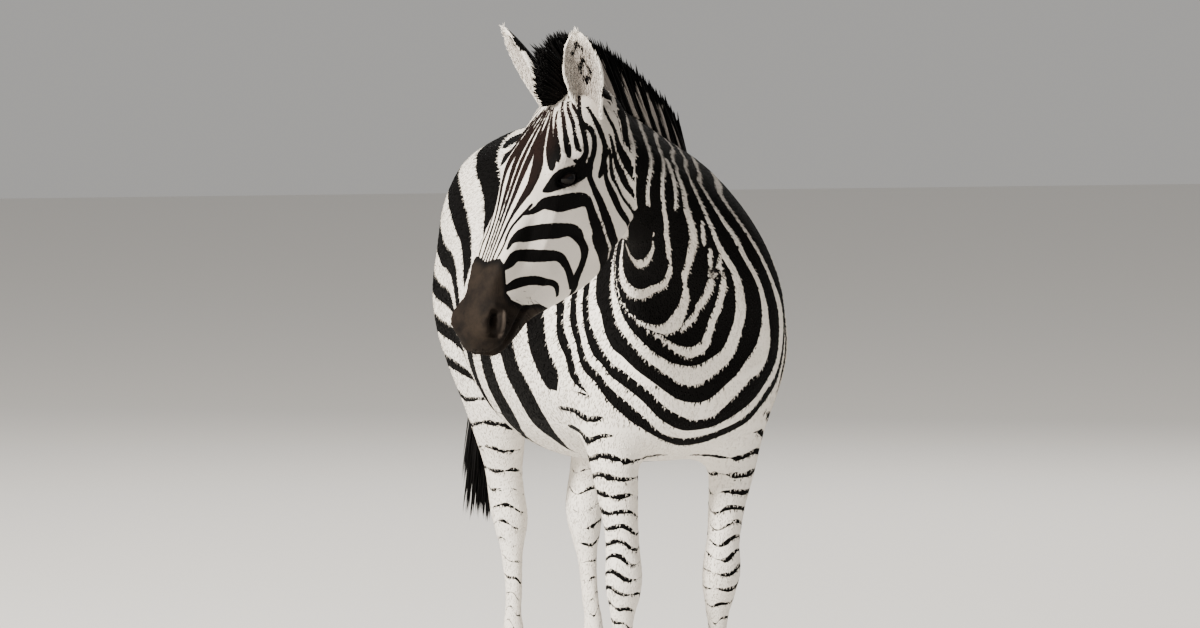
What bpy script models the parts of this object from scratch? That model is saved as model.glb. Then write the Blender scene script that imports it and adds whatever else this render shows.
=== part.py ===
"""A life-size still model of a plains zebra standing with its head turned to its right.

Metres, +Z up, the zebra faces -Y, so its left side is at +X. The flesh is modelled whole, from lofted
sections and muscle masses that are joined and smoothed, and is then parted with thin cuts into head, neck,
trunk, tail and legs. Ears, eyes, hooves, mane and tail tuft are solids of their own.
"""

import math

import bmesh
import bpy
from mathutils import Matrix, Vector

# ---------------------------------------------------------------- driving dimensions
WITHERS_Z = 1.305
CROUP_Z = 1.337
BELLY_Z = 0.606
BARREL_HALF_WIDTH = 0.312
HEAD_LENGTH = 0.568
GAP = 0.0004  # clearance that parted or touching solids keep

RING_POINTS = 28
VOXEL = 0.0115
BODY_TRIANGLES = 2800  # in the thinned skin; the cuts add some
HEAD_TRIANGLES = 1650
TRUNK_RINGS, NECK_RINGS, HEAD_RINGS, LEG_RINGS = 40, 24, 44, 48

# ---------------------------------------------------------------- the head's own frame
HEAD_YAW = math.radians(67)  # from straight ahead towards the zebra's right
HEAD_PITCH = math.radians(58.5)  # below the horizon
HEAD_ROLL = math.radians(-4)  # the left side a little down
POLL = Vector((-0.362, -0.800, 1.434))
HEAD_AHEAD = Vector(
    (
        -math.sin(HEAD_YAW) * math.cos(HEAD_PITCH),
        -math.cos(HEAD_YAW) * math.cos(HEAD_PITCH),
        -math.sin(HEAD_PITCH),
    )
)
LEVEL_LEFT = Vector((math.cos(HEAD_YAW), -math.sin(HEAD_YAW), 0.0))
LEVEL_UP = HEAD_AHEAD.cross(LEVEL_LEFT)
HEAD_LEFT = LEVEL_LEFT * math.cos(HEAD_ROLL) + LEVEL_UP * math.sin(HEAD_ROLL)
HEAD_UP = HEAD_AHEAD.cross(HEAD_LEFT)
HEAD_STRETCH = HEAD_LENGTH / 0.600  # the head's tables are written for a head 0.6 m long


def on_head(ahead, up, left):
    """A point from its distances along the face, above the brow line and left of the midline."""
    return POLL + HEAD_AHEAD * (ahead * HEAD_STRETCH) + HEAD_UP * up + HEAD_LEFT * left


# ---------------------------------------------------------------- small modelling tools
def ease(value, start, end):
    """0 up to start, 1 past end, and a smooth rise between them."""
    share = min(max((value - start) / (end - start), 0.0), 1.0)
    return share * share * (3 - 2 * share)


def blend_rows(rows, t):
    """The row at t between 0 and 1 along a table, on a smooth curve through its rows."""
    place = t * (len(rows) - 1)
    i = min(int(place), len(rows) - 2)
    f = place - i
    before, a = rows[max(i - 1, 0)], rows[i]
    b, after = rows[i + 1], rows[min(i + 2, len(rows) - 1)]
    return [
        0.5 * (2 * q + (r - p) * f + (2 * p - 5 * q + 4 * r - s) * f**2 + (3 * q - p - 3 * r + s) * f**3)
        for p, q, r, s in zip(before, a, b, after)
    ]


def egg_ring(top, bottom, side, half_width, widest, top_power, bottom_power, points=RING_POINTS):
    """Points round a section: an egg between top and bottom, widest at a share of its height."""
    middle = bottom.lerp(top, widest)
    ring = []
    for k in range(points):
        turn = 2 * math.pi * k / points
        c, s = math.cos(turn), math.sin(turn)
        power = top_power if c > 0 else bottom_power
        reach = (top - middle) if c > 0 else (middle - bottom)
        up = math.copysign(abs(c) ** (2 / power), c)
        out = math.copysign(abs(s) ** (2 / power), s)
        ring.append(middle + reach * up + side * (half_width * out))
    return ring


def add_loft(bm, rings):
    """A closed skin through rings of equal point counts, with its two ends filled."""
    loops = [[bm.verts.new(p) for p in ring] for ring in rings]
    count = len(loops[0])
    for a, b in zip(loops, loops[1:]):
        for k in range(count):
            n = (k + 1) % count
            bm.faces.new((a[k], a[n], b[n], b[k]))
    bm.faces.new(list(reversed(loops[0])))
    bm.faces.new(loops[-1])


def add_ball(bm, centre, radii, axes):
    """An ellipsoid with its radii along three axes."""
    ahead, up, left = axes
    turn = Matrix((ahead, up, left)).transposed().to_4x4()
    place = Matrix.Translation(centre) @ turn @ Matrix.Diagonal((*radii, 1.0))
    bmesh.ops.create_uvsphere(bm, u_segments=24, v_segments=16, radius=1.0, matrix=place)


def body_axes(pitch_deg, yaw_deg=0.0):
    """Ahead, up and left of a mass whose ahead end is pitched up and turned out from straight ahead."""
    turn = Matrix.Rotation(math.radians(yaw_deg), 3, "Z") @ Matrix.Rotation(math.radians(-pitch_deg), 3, "X")
    return turn @ Vector((0, -1, 0)), turn @ Vector((0, 0, 1)), turn @ Vector((1, 0, 0))


def finish_mesh(bm, name):
    """An object from a bmesh, with its faces pointing out."""
    bmesh.ops.recalc_face_normals(bm, faces=bm.faces)
    mesh = bpy.data.meshes.new(name)
    bm.to_mesh(mesh)
    bm.free()
    obj = bpy.data.objects.new(name, mesh)
    bpy.context.scene.collection.objects.link(obj)
    return obj


# ---------------------------------------------------------------- trunk and neck
# ahead of the middle, top, bottom, half width, height of the widest part, roundness above and below
TRUNK = [
    (0.672, 0.965, 0.860, 0.070, 0.50, 2.0, 2.0),
    (0.640, 1.040, 0.765, 0.140, 0.46, 1.9, 2.0),
    (0.550, 1.150, 0.680, 0.205, 0.42, 1.7, 2.0),
    (0.440, WITHERS_Z - 0.022, 0.642, 0.262, 0.39, 1.55, 2.1),
    (0.320, WITHERS_Z - 0.006, 0.628, 0.292, 0.41, 1.55, 2.1),
    (0.160, 1.280, 0.616, 0.312, 0.44, 1.75, 2.1),
    (0.000, 1.265, BELLY_Z, BARREL_HALF_WIDTH, 0.45, 1.9, 2.1),
    (-0.150, 1.279, 0.618, 0.300, 0.47, 1.9, 2.1),
    (-0.280, 1.313, 0.668, 0.278, 0.50, 1.95, 2.0),
    (-0.400, CROUP_Z, 0.745, 0.258, 0.52, 1.9, 2.0),
    (-0.510, 1.320, 0.820, 0.236, 0.54, 1.9, 2.0),
    (-0.610, 1.268, 0.885, 0.200, 0.55, 1.9, 2.0),
    (-0.680, 1.205, 0.955, 0.142, 0.55, 2.0, 2.0),
    (-0.710, 1.145, 1.020, 0.075, 0.50, 2.0, 2.0),
]
# crest (x, y, z), throat (x, y, z), half width, fullness of the throat side
NECK = [
    (0.000, -0.290, 1.270, 0.000, -0.560, 0.720, 0.225, 2.2),
    (0.000, -0.400, 1.276, 0.000, -0.640, 0.830, 0.208, 2.4),
    (-0.016, -0.495, 1.302, -0.026, -0.692, 0.945, 0.158, 2.6),
    (-0.095, -0.575, 1.348, -0.090, -0.726, 1.046, 0.110, 2.4),
    (-0.198, -0.660, 1.402, -0.160, -0.752, 1.128, 0.087, 2.2),
    (-0.300, -0.742, 1.434, -0.222, -0.768, 1.190, 0.077, 2.1),
    (-0.352, -0.785, 1.428, -0.262, -0.780, 1.208, 0.066, 2.1),
]


def trunk_rings():
    rings = []
    for k in range(TRUNK_RINGS):
        ahead, high, low, *shape = blend_rows(TRUNK, k / (TRUNK_RINGS - 1))
        rings.append(egg_ring(Vector((0, -ahead, high)), Vector((0, -ahead, low)), Vector((1, 0, 0)), *shape))
    return rings


def neck_section(t):
    """Crest, throat, side direction, half width and fullness of the neck, t from 0 at its root to 1."""
    row = blend_rows(NECK, t)
    near = blend_rows(NECK, min(t + 0.02, 1.0))
    back = blend_rows(NECK, max(t - 0.02, 0.0))
    crest, throat = Vector(row[:3]), Vector(row[3:6])
    along = (Vector(near[:3]) + Vector(near[3:6])) - (Vector(back[:3]) + Vector(back[3:6]))
    side = (crest - throat).cross(along).normalized()
    return crest, throat, side, row[6], row[7]


def neck_rings():
    rings = []
    for k in range(NECK_RINGS):
        crest, throat, side, width, fullness = neck_section(k / (NECK_RINGS - 1))
        rings.append(egg_ring(crest, throat, side, width, 0.34, 1.4, fullness))
    return rings


# ---------------------------------------------------------------- head
# along the face, brow line, jaw line, half width, height of the widest part, roundness above and below
HEAD = [
    (-0.055, -0.045, -0.150, 0.046, 0.50, 2.0, 2.0),
    (-0.025, -0.012, -0.190, 0.070, 0.55, 2.0, 2.0),
    (0.030, 0.004, -0.225, 0.083, 0.60, 2.1, 2.0),
    (0.090, 0.010, -0.256, 0.088, 0.64, 2.3, 2.0),
    (0.145, 0.014, -0.280, 0.090, 0.68, 2.5, 2.0),
    (0.200, 0.014, -0.292, 0.089, 0.70, 2.5, 2.0),
    (0.255, 0.008, -0.302, 0.080, 0.69, 2.4, 2.0),
    (0.310, 0.001, -0.286, 0.070, 0.65, 2.3, 2.0),
    (0.370, -0.006, -0.249, 0.061, 0.59, 2.3, 2.1),
    (0.430, -0.012, -0.204, 0.055, 0.53, 2.3, 2.2),
    (0.490, -0.017, -0.160, 0.056, 0.50, 2.3, 2.3),
    (0.540, -0.026, -0.148, 0.057, 0.48, 2.2, 2.3),
    (0.575, -0.043, -0.128, 0.050, 0.46, 2.1, 2.2),
    (0.600, -0.068, -0.100, 0.026, 0.45, 2.0, 2.0),
]
EYE_AHEAD, EYE_UP, EYE_LEFT, EYE_RADIUS = 0.188, -0.052, 0.0700, 0.0215
EYE_PARTS = 14  # facets round an eye and its socket


def head_rings():
    rings = []
    for k in range(HEAD_RINGS):
        ahead, brow, jaw, *shape = blend_rows(HEAD, k / (HEAD_RINGS - 1))
        rings.append(egg_ring(on_head(ahead, brow, 0), on_head(ahead, jaw, 0), HEAD_LEFT, *shape))
    return rings


# centre (along, up, left), radii (along, up, left) of the masses on each side of the head
HEAD_MASSES = [
    ((0.180, -0.170, 0.050), (0.108, 0.108, 0.038)),  # cheek muscle
    ((0.178, -0.026, 0.070), (0.040, 0.022, 0.022)),  # brow over the eye
    ((0.196, -0.086, 0.074), (0.050, 0.016, 0.018)),  # bone under the eye
    ((0.300, -0.088, 0.058), (0.085, 0.014, 0.014)),  # ridge down the cheek
    ((0.350, -0.030, 0.036), (0.130, 0.022, 0.018)),  # side of the nose
    ((0.535, -0.058, 0.043), (0.042, 0.030, 0.021)),  # nostril wing
    ((0.552, -0.098, 0.026), (0.042, 0.034, 0.030)),  # upper lip
    ((0.015, -0.030, 0.058), (0.042, 0.034, 0.030)),  # ear root
]
CHIN = ((0.497, -0.142, 0.0), (0.040, 0.022, 0.034))


def add_head(bm):
    add_loft(bm, head_rings())
    axes = (HEAD_AHEAD, HEAD_UP, HEAD_LEFT)
    for (ahead, up, left), radii in HEAD_MASSES:
        for side in (1, -1):
            add_ball(bm, on_head(ahead, up, left * side), radii, axes)
    add_ball(bm, on_head(*CHIN[0]), CHIN[1], axes)


# ---------------------------------------------------------------- legs
# height, out from the midline, ahead of the middle, half width, reach ahead, reach behind
FORELEG = [
    (0.960, 0.130, 0.490, 0.060, 0.080, 0.110),
    (0.860, 0.152, 0.480, 0.076, 0.092, 0.135),
    (0.770, 0.155, 0.465, 0.068, 0.078, 0.115),
    (0.690, 0.143, 0.456, 0.060, 0.070, 0.088),
    (0.610, 0.130, 0.456, 0.052, 0.062, 0.064),
    (0.530, 0.120, 0.458, 0.044, 0.050, 0.048),
    (0.465, 0.114, 0.462, 0.042, 0.043, 0.042),
    (0.420, 0.112, 0.465, 0.047, 0.047, 0.043),
    (0.380, 0.111, 0.465, 0.045, 0.046, 0.045),
    (0.335, 0.110, 0.461, 0.034, 0.032, 0.041),
    (0.290, 0.110, 0.459, 0.0255, 0.024, 0.037),
    (0.220, 0.110, 0.458, 0.0240, 0.024, 0.036),
    (0.175, 0.110, 0.460, 0.0300, 0.030, 0.043),
    (0.145, 0.110, 0.464, 0.0320, 0.033, 0.043),
    (0.115, 0.110, 0.474, 0.0270, 0.029, 0.034),
    (0.085, 0.110, 0.486, 0.0280, 0.029, 0.031),
    (0.035, 0.110, 0.506, 0.0350, 0.035, 0.038),
]
HINDLEG = [
    (1.120, 0.120, -0.440, 0.080, 0.090, 0.150),
    (1.000, 0.148, -0.442, 0.108, 0.150, 0.205),
    (0.880, 0.150, -0.440, 0.106, 0.178, 0.188),
    (0.785, 0.143, -0.445, 0.091, 0.162, 0.140),
    (0.700, 0.128, -0.468, 0.074, 0.125, 0.100),
    (0.625, 0.112, -0.500, 0.058, 0.088, 0.078),
    (0.562, 0.100, -0.530, 0.046, 0.062, 0.074),
    (0.510, 0.092, -0.552, 0.043, 0.055, 0.078),
    (0.462, 0.087, -0.562, 0.047, 0.054, 0.063),
    (0.418, 0.086, -0.566, 0.041, 0.044, 0.050),
    (0.375, 0.087, -0.568, 0.0300, 0.031, 0.042),
    (0.315, 0.088, -0.570, 0.0250, 0.026, 0.037),
    (0.230, 0.092, -0.572, 0.0245, 0.026, 0.037),
    (0.180, 0.094, -0.570, 0.0305, 0.031, 0.044),
    (0.150, 0.095, -0.566, 0.0325, 0.033, 0.044),
    (0.118, 0.096, -0.556, 0.0275, 0.029, 0.034),
    (0.086, 0.096, -0.545, 0.0280, 0.029, 0.031),
    (0.035, 0.096, -0.530, 0.0330, 0.033, 0.036),
]
CORONET_Z = 0.060
# name, table, side, step ahead of the foot, foot out from its place
LEGS = [
    ("fore", "left", FORELEG, 1, -0.065, 0.000),
    ("fore", "right", FORELEG, -1, 0.000, 0.010),
    ("hind", "left", HINDLEG, 1, 0.130, 0.018),
    ("hind", "right", HINDLEG, -1, 0.078, -0.034),
]
HIP_Z = 0.98  # a step moves what is below this height, more and more down to the foot


def leg_ring(row, side, step, outward, points=20):
    height, out, ahead, width, front, back = row
    share = ease(HIP_Z - height, 0.0, HIP_Z - 0.10)
    x = side * (out + outward * share)
    y = -(ahead + step * share)
    ring = []
    for k in range(points):
        turn = 2 * math.pi * k / points
        reach = front if math.cos(turn) > 0 else back
        ring.append(Vector((x + math.sin(turn) * width, y - math.cos(turn) * reach, height)))
    return ring


def leg_rings(table, side, step, outward):
    last = LEG_RINGS - 1
    return [leg_ring(blend_rows(table, k / last), side, step, outward) for k in range(LEG_RINGS)]


# centre (out, ahead, height), radii (ahead, up, out), pitch: muscles of the body, one on each side
BODY_MASSES = [
    ((0.104, 0.410, 0.985), (0.095, 0.170, 0.054), -24),  # shoulder blade and its muscle
    ((0.152, 0.525, 0.900), (0.085, 0.120, 0.060), 0),  # point of the shoulder
    ((0.172, 0.390, 0.850), (0.115, 0.135, 0.058), 25),  # muscle behind the upper arm
    ((0.060, 0.590, 0.830), (0.060, 0.110, 0.058), 0),  # breast
    ((0.105, 0.520, 0.990), (0.085, 0.170, 0.090), 22),  # where the neck spreads into the shoulders
    ((0.128, -0.390, 1.145), (0.200, 0.145, 0.110), 0),  # haunch
    ((0.140, -0.330, 0.960), (0.145, 0.190, 0.088), 15),  # thigh
    ((0.104, -0.560, 1.000), (0.100, 0.180, 0.090), -8),  # back of the thigh
    ((0.138, -0.280, 0.825), (0.070, 0.085, 0.056), 0),  # stifle
]
# centre line (x, y, z) and radius of the fleshy part of the tail
TAIL = [
    (0.000, 0.580, 1.235, 0.050),
    (0.000, 0.670, 1.205, 0.043),
    (0.000, 0.735, 1.135, 0.033),
    (-0.004, 0.768, 1.030, 0.025),
    (-0.012, 0.782, 0.920, 0.020),
    (-0.020, 0.786, 0.830, 0.017),
]
TUFT = [
    (-0.015, 0.784, 0.890, 0.012),
    (-0.020, 0.786, 0.825, 0.025),
    (-0.026, 0.784, 0.740, 0.034),
    (-0.034, 0.778, 0.640, 0.043),
    (-0.042, 0.772, 0.530, 0.038),
    (-0.046, 0.767, 0.450, 0.024),
    (-0.048, 0.765, 0.410, 0.006),
]


def tube_rings(table, count, points=16):
    """Rings across a centre line of (x, y, z, radius) rows."""
    rings = []
    for k in range(count):
        t = k / (count - 1)
        x, y, z, radius = blend_rows(table, t)
        near, back = blend_rows(table, min(t + 0.02, 1)), blend_rows(table, max(t - 0.02, 0))
        turn = (Vector(near[:3]) - Vector(back[:3])).to_track_quat("Z", "Y")
        angles = [2 * math.pi * i / points for i in range(points)]
        spokes = [Vector((math.cos(a), math.sin(a), 0)) * radius for a in angles]
        rings.append([Vector((x, y, z)) + turn @ spoke for spoke in spokes])
    return rings


def make_clay():
    """All the flesh as overlapping closed shapes in one mesh."""
    bm = bmesh.new()
    add_loft(bm, trunk_rings())
    add_loft(bm, neck_rings())
    add_head(bm)
    for _, _, table, side, step, outward in LEGS:
        add_loft(bm, leg_rings(table, side, step, outward))
    for (out, ahead, height), radii, pitch in BODY_MASSES:
        for side in (1, -1):
            add_ball(bm, Vector((out * side, -ahead, height)), radii, body_axes(pitch))
    add_loft(bm, tube_rings(TAIL, 16))
    return finish_mesh(bm, "clay")


def apply_modifiers(obj):
    """Turn what an object's modifiers make into its own mesh."""
    bpy.context.view_layer.update()
    made = obj.evaluated_get(bpy.context.evaluated_depsgraph_get())
    mesh = bpy.data.meshes.new_from_object(made)
    obj.modifiers.clear()
    obj.data = mesh
    return obj


def add_group(obj, name, share):
    """A vertex group in which a point counts as much as share(point) says, from 0 to 1."""
    group = obj.vertex_groups.new(name=name)
    for vertex in obj.data.vertices:
        group.add([vertex.index], share(vertex.co), "REPLACE")


def on_face(point):
    """Whether a point of the skin is on the head, ahead of the ears."""
    away = point - POLL
    return away.dot(HEAD_AHEAD) > 0.0 and abs(away.dot(HEAD_LEFT)) < 0.16 and away.length < 0.70


def on_body(point):
    return not on_face(point)


def on_torso(point):
    """1 on the trunk and the root of the neck, falling to 0 at the legs, the tail and the slim neck."""
    if on_face(point):
        return 0.0
    return ease(point.z, 0.60, 0.76) * ease(-point.y, -0.66, -0.58) * ease(point.y, -0.78, -0.62)


def thin_out(obj, name, belongs, keep):
    """Leave about so many triangles where the points pass a test, and the rest as they are."""
    group = obj.vertex_groups.get(name)
    inside = {v.index for v in obj.data.vertices if belongs(v.co)}
    total = sum(len(f.vertices) - 2 for f in obj.data.polygons)
    theirs = sum(len(f.vertices) - 2 for f in obj.data.polygons if inside.issuperset(f.vertices))
    thin = obj.modifiers.new("fewer faces", "DECIMATE")
    thin.ratio = (total - theirs + keep) / total
    thin.vertex_group = group.name
    thin.use_collapse_triangulate = True
    return apply_modifiers(obj)


def fuse_clay(clay):
    """One smooth closed skin round all of the clay."""
    remesh = clay.modifiers.new("fuse", "REMESH")
    remesh.mode = "VOXEL"
    remesh.voxel_size = VOXEL
    apply_modifiers(clay)
    add_group(clay, "body", on_body)
    add_group(clay, "face", on_face)
    add_group(clay, "torso", on_torso)
    light = clay.modifiers.new("smooth all", "SMOOTH")
    light.factor, light.iterations = 0.5, 3
    strong = clay.modifiers.new("smooth body", "SMOOTH")
    strong.factor, strong.iterations, strong.vertex_group = 0.5, 12, "body"
    torso = clay.modifiers.new("smooth torso", "SMOOTH")
    torso.factor, torso.iterations, torso.vertex_group = 0.5, 70, "torso"
    return apply_modifiers(clay)


def thin_flesh(flesh):
    thin_out(flesh, "body", on_body, BODY_TRIANGLES)
    thin_out(flesh, "face", on_face, HEAD_TRIANGLES)
    return flesh


# ---------------------------------------------------------------- parting the flesh
def prism(name, place, outline, start, end):
    """A solid between two equal outlines; place(u, v, w) gives the point at u, v on the outline w along."""
    bm = bmesh.new()
    rings = [[place(u, v, w) for u, v in outline] for w in (start, end)]
    add_loft(bm, rings)
    return finish_mesh(bm, name)


def cut(obj, tool, operation):
    """A copy of an object after a Boolean with a tool."""
    made = obj.copy()
    made.data = obj.data.copy()
    bpy.context.scene.collection.objects.link(made)
    modifier = made.modifiers.new("cut", "BOOLEAN")
    modifier.operation, modifier.object, modifier.solver = operation, tool, "EXACT"
    return apply_modifiers(made)


def drop(obj):
    bpy.data.objects.remove(obj)


def keep_largest(obj):
    """Keep only the biggest of an object's separate bodies, in triangles."""
    bm = bmesh.new()
    bm.from_mesh(obj.data)
    bmesh.ops.triangulate(bm, faces=bm.faces)
    bmesh.ops.dissolve_degenerate(bm, edges=bm.edges, dist=0.00005)
    bmesh.ops.holes_fill(bm, edges=bm.edges, sides=12)
    bmesh.ops.triangulate(bm, faces=bm.faces)
    left, groups = set(bm.verts), []
    while left:
        start = left.pop()
        group, edge = {start}, [start]
        while edge:
            for link in edge.pop().link_edges:
                for vertex in link.verts:
                    if vertex in left:
                        left.discard(vertex)
                        group.add(vertex)
                        edge.append(vertex)
        groups.append(group)
    groups.sort(key=len, reverse=True)
    for group in groups[1:]:
        bmesh.ops.delete(bm, geom=list(group), context="VERTS")
    bm.to_mesh(obj.data)
    bm.free()
    return obj


def part_off(flesh, name, make_tool):
    """Take one named piece out of the flesh; returns the piece and what is left, a gap apart."""
    tool = make_tool(0.0)
    piece = keep_largest(cut(flesh, tool, "INTERSECT"))
    drop(tool)
    wider = make_tool(GAP)
    rest = cut(flesh, wider, "DIFFERENCE")
    drop(wider)
    drop(flesh)
    piece.name = piece.data.name = name
    return piece, rest


def head_tool(grow):
    outline = [(-0.020 - grow, 0.12), (0.76, 0.12), (0.76, -0.30), (0.36, -0.345), (0.120 - grow, -0.325)]
    return prism("tool", on_head, outline, -0.17, 0.17)


def along_x(u, v, w):
    return Vector((w, u, v))


def along_y(u, v, w):
    return Vector((u, w, v))


def neck_tool(grow):
    back = [(-0.375 + grow, 1.40), (-0.375 + grow, 1.345), (-0.72 + grow, 0.885)]
    return prism("tool", along_x, back + [(-1.2, 0.885), (-1.2, 1.75)], -0.8, 0.5)


def tail_tool(grow):
    outline = [(0.660 - grow, 1.35), (0.728 - grow, 0.70), (1.0, 0.70), (1.0, 1.35)]
    return prism("tool", along_x, outline, -0.09, 0.07)


def foreleg_tool(side):
    def make(grow):
        inner, outer = GAP / 2 * side, 0.32 * side
        outline = [(inner, -0.05), (inner, 0.618 + grow), (outer, 0.805 + grow), (outer, -0.05)]
        return prism("tool", along_y, outline, -0.70, -0.330 + grow)

    return make


def hindleg_tool(side):
    def make(grow):
        def place(u, v, w):
            return Vector(((w * 0.5 + GAP / 2) * side, u, v))

        top = [(0.150, 0.570 + grow), (0.700, 0.920 + grow), (0.900, 0.920 + grow)]
        return prism("tool", place, [(0.150, -0.05)] + top + [(0.900, -0.05)], 0.0, 1.0)

    return make


# ---------------------------------------------------------------- ears, eyes, hooves, mane and tail tuft
EAR_LENGTH = 0.158
# along the ear, half width, depth of the cup, thickness
EAR = [
    (-0.20, 0.024, 0.022, 0.008),
    (0.00, 0.029, 0.026, 0.007),
    (0.20, 0.037, 0.029, 0.006),
    (0.42, 0.041, 0.026, 0.005),
    (0.62, 0.038, 0.019, 0.005),
    (0.80, 0.029, 0.012, 0.004),
    (0.93, 0.016, 0.006, 0.003),
    (1.00, 0.005, 0.002, 0.002),
]
# side: foot on the head (ahead, up, left), direction it points in, direction its cup opens in
EARS = {
    "left": ((0.022, -0.034, 0.064), (-0.240, -0.185, 0.950), (-0.45, -0.89, -0.20)),
    "right": ((0.012, -0.022, -0.072), (-0.480, 0.020, 0.860), (-0.90, -0.05, -0.44)),
}
EAR_ARC = 105  # degrees each way from the back of the cup to its rim


def ear_ring(row, foot, tall, open_way, wide):
    along, half, depth, thick = row
    centre = foot + tall * (along * EAR_LENGTH)
    outer, inner = [], []
    for k in range(9):
        turn = math.radians(EAR_ARC) * (k / 4 - 1)
        a, b = math.sin(turn), -math.cos(turn)
        outer.append(centre + wide * (half * a) + open_way * (depth * b))
        inner.append(centre + wide * ((half - thick) * a) + open_way * ((depth - thick) * b + thick * 0.35))
    return outer + inner[::-1]


def make_ear(side):
    (ahead, up, left), points, opens = EARS[side]
    foot, tall = on_head(ahead, up, left), Vector(points).normalized()
    wide = tall.cross(Vector(opens)).normalized()
    open_way = wide.cross(tall)
    bm = bmesh.new()
    add_loft(bm, [ear_ring(blend_rows(EAR, k / 8), foot, tall, open_way, wide) for k in range(9)])
    return finish_mesh(bm, "ear_" + side)


def eye_place(side):
    return on_head(EYE_AHEAD, EYE_UP, EYE_LEFT * side)


def make_ball(name, centre, radius, parts):
    bm = bmesh.new()
    bmesh.ops.create_uvsphere(
        bm, u_segments=parts, v_segments=parts // 2, radius=radius, matrix=Matrix.Translation(centre)
    )
    return finish_mesh(bm, name)


# height, half width, reach ahead, reach behind, centre ahead of the coronet's
HOOF = {
    "fore": [(0.000, 0.0500, 0.066, 0.044, 0.004), (0.004, 0.0510, 0.067, 0.045, 0.004),
             (0.030, 0.0440, 0.052, 0.042, 0.002), (CORONET_Z - GAP, 0.0370, 0.040, 0.039, 0.000)],
    "hind": [(0.000, 0.0440, 0.062, 0.042, 0.004), (0.004, 0.0450, 0.063, 0.043, 0.004),
             (0.030, 0.0405, 0.049, 0.040, 0.002), (CORONET_Z - GAP, 0.0345, 0.037, 0.037, 0.000)],
}


def make_hoof(end, side_name, table, side, step, outward):
    share = (table[-1][0] - CORONET_Z) / (table[-1][0] - table[-2][0])
    out, ahead = (table[-1][k] + (table[-2][k] - table[-1][k]) * share for k in (1, 2))
    rings = [
        leg_ring((height, out, ahead + shift, width, front, back), side, step, outward)
        for height, width, front, back, shift in HOOF[end]
    ]
    bm = bmesh.new()
    add_loft(bm, rings)
    return finish_mesh(bm, f"hoof_{end}_{side_name}")


# share along the neck, height above the crest, half width
MANE = [
    (0.12, 0.008, 0.008),
    (0.20, 0.034, 0.018),
    (0.35, 0.082, 0.023),
    (0.55, 0.114, 0.026),
    (0.75, 0.122, 0.028),
    (0.90, 0.116, 0.029),
]
# ahead along the head, height above the brow line, lean ahead of the tips, half width
FORELOCK = [
    (-0.024, 0.106, -0.008, 0.029),
    (0.006, 0.084, 0.000, 0.027),
    (0.030, 0.060, 0.012, 0.020),
    (0.046, 0.028, 0.014, 0.010),
]


def make_mane():
    rings = []
    for k in range(13):
        share, height, width = blend_rows(MANE, k / 12)
        crest, throat, side, *_ = neck_section(share)
        up = (crest - throat).normalized()
        rings.append(egg_ring(crest + up * height, crest - up * 0.020, side, width, 0.4, 2.4, 2.0, 12))
    for k in range(6):
        ahead, height, lean, width = blend_rows(FORELOCK, k / 5)
        tip = on_head(ahead + lean, height, 0)
        rings.append(egg_ring(tip, on_head(ahead, -0.020, 0), HEAD_LEFT, width, 0.4, 2.4, 2.0, 12))
    bm = bmesh.new()
    add_loft(bm, rings)
    return finish_mesh(bm, "mane")


def grown(obj, by):
    """A copy of a solid that is larger by a small distance all round."""
    made = obj.copy()
    made.data = obj.data.copy()
    bpy.context.scene.collection.objects.link(made)
    for vertex, normal in zip(made.data.vertices, [v.normal.copy() for v in obj.data.vertices]):
        vertex.co += normal * by
    return made


def clear_of(obj, others, by=GAP):
    """Cut an object back so that it stays clear of other solids."""
    name = obj.name
    for other in others:
        tool = grown(other, by)
        less = cut(obj, tool, "DIFFERENCE")
        drop(tool)
        drop(obj)
        obj = less
    obj = keep_largest(obj)
    obj.name = obj.data.name = name
    return obj


def colour(obj, rgb, roughness):
    material = bpy.data.materials.new(obj.name)
    material.use_nodes = True
    shader = material.node_tree.nodes["Principled BSDF"]
    shader.inputs["Base Color"].default_value = (*rgb, 1.0)
    shader.inputs["Roughness"].default_value = roughness
    obj.data.materials.clear()
    obj.data.materials.append(material)


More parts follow.
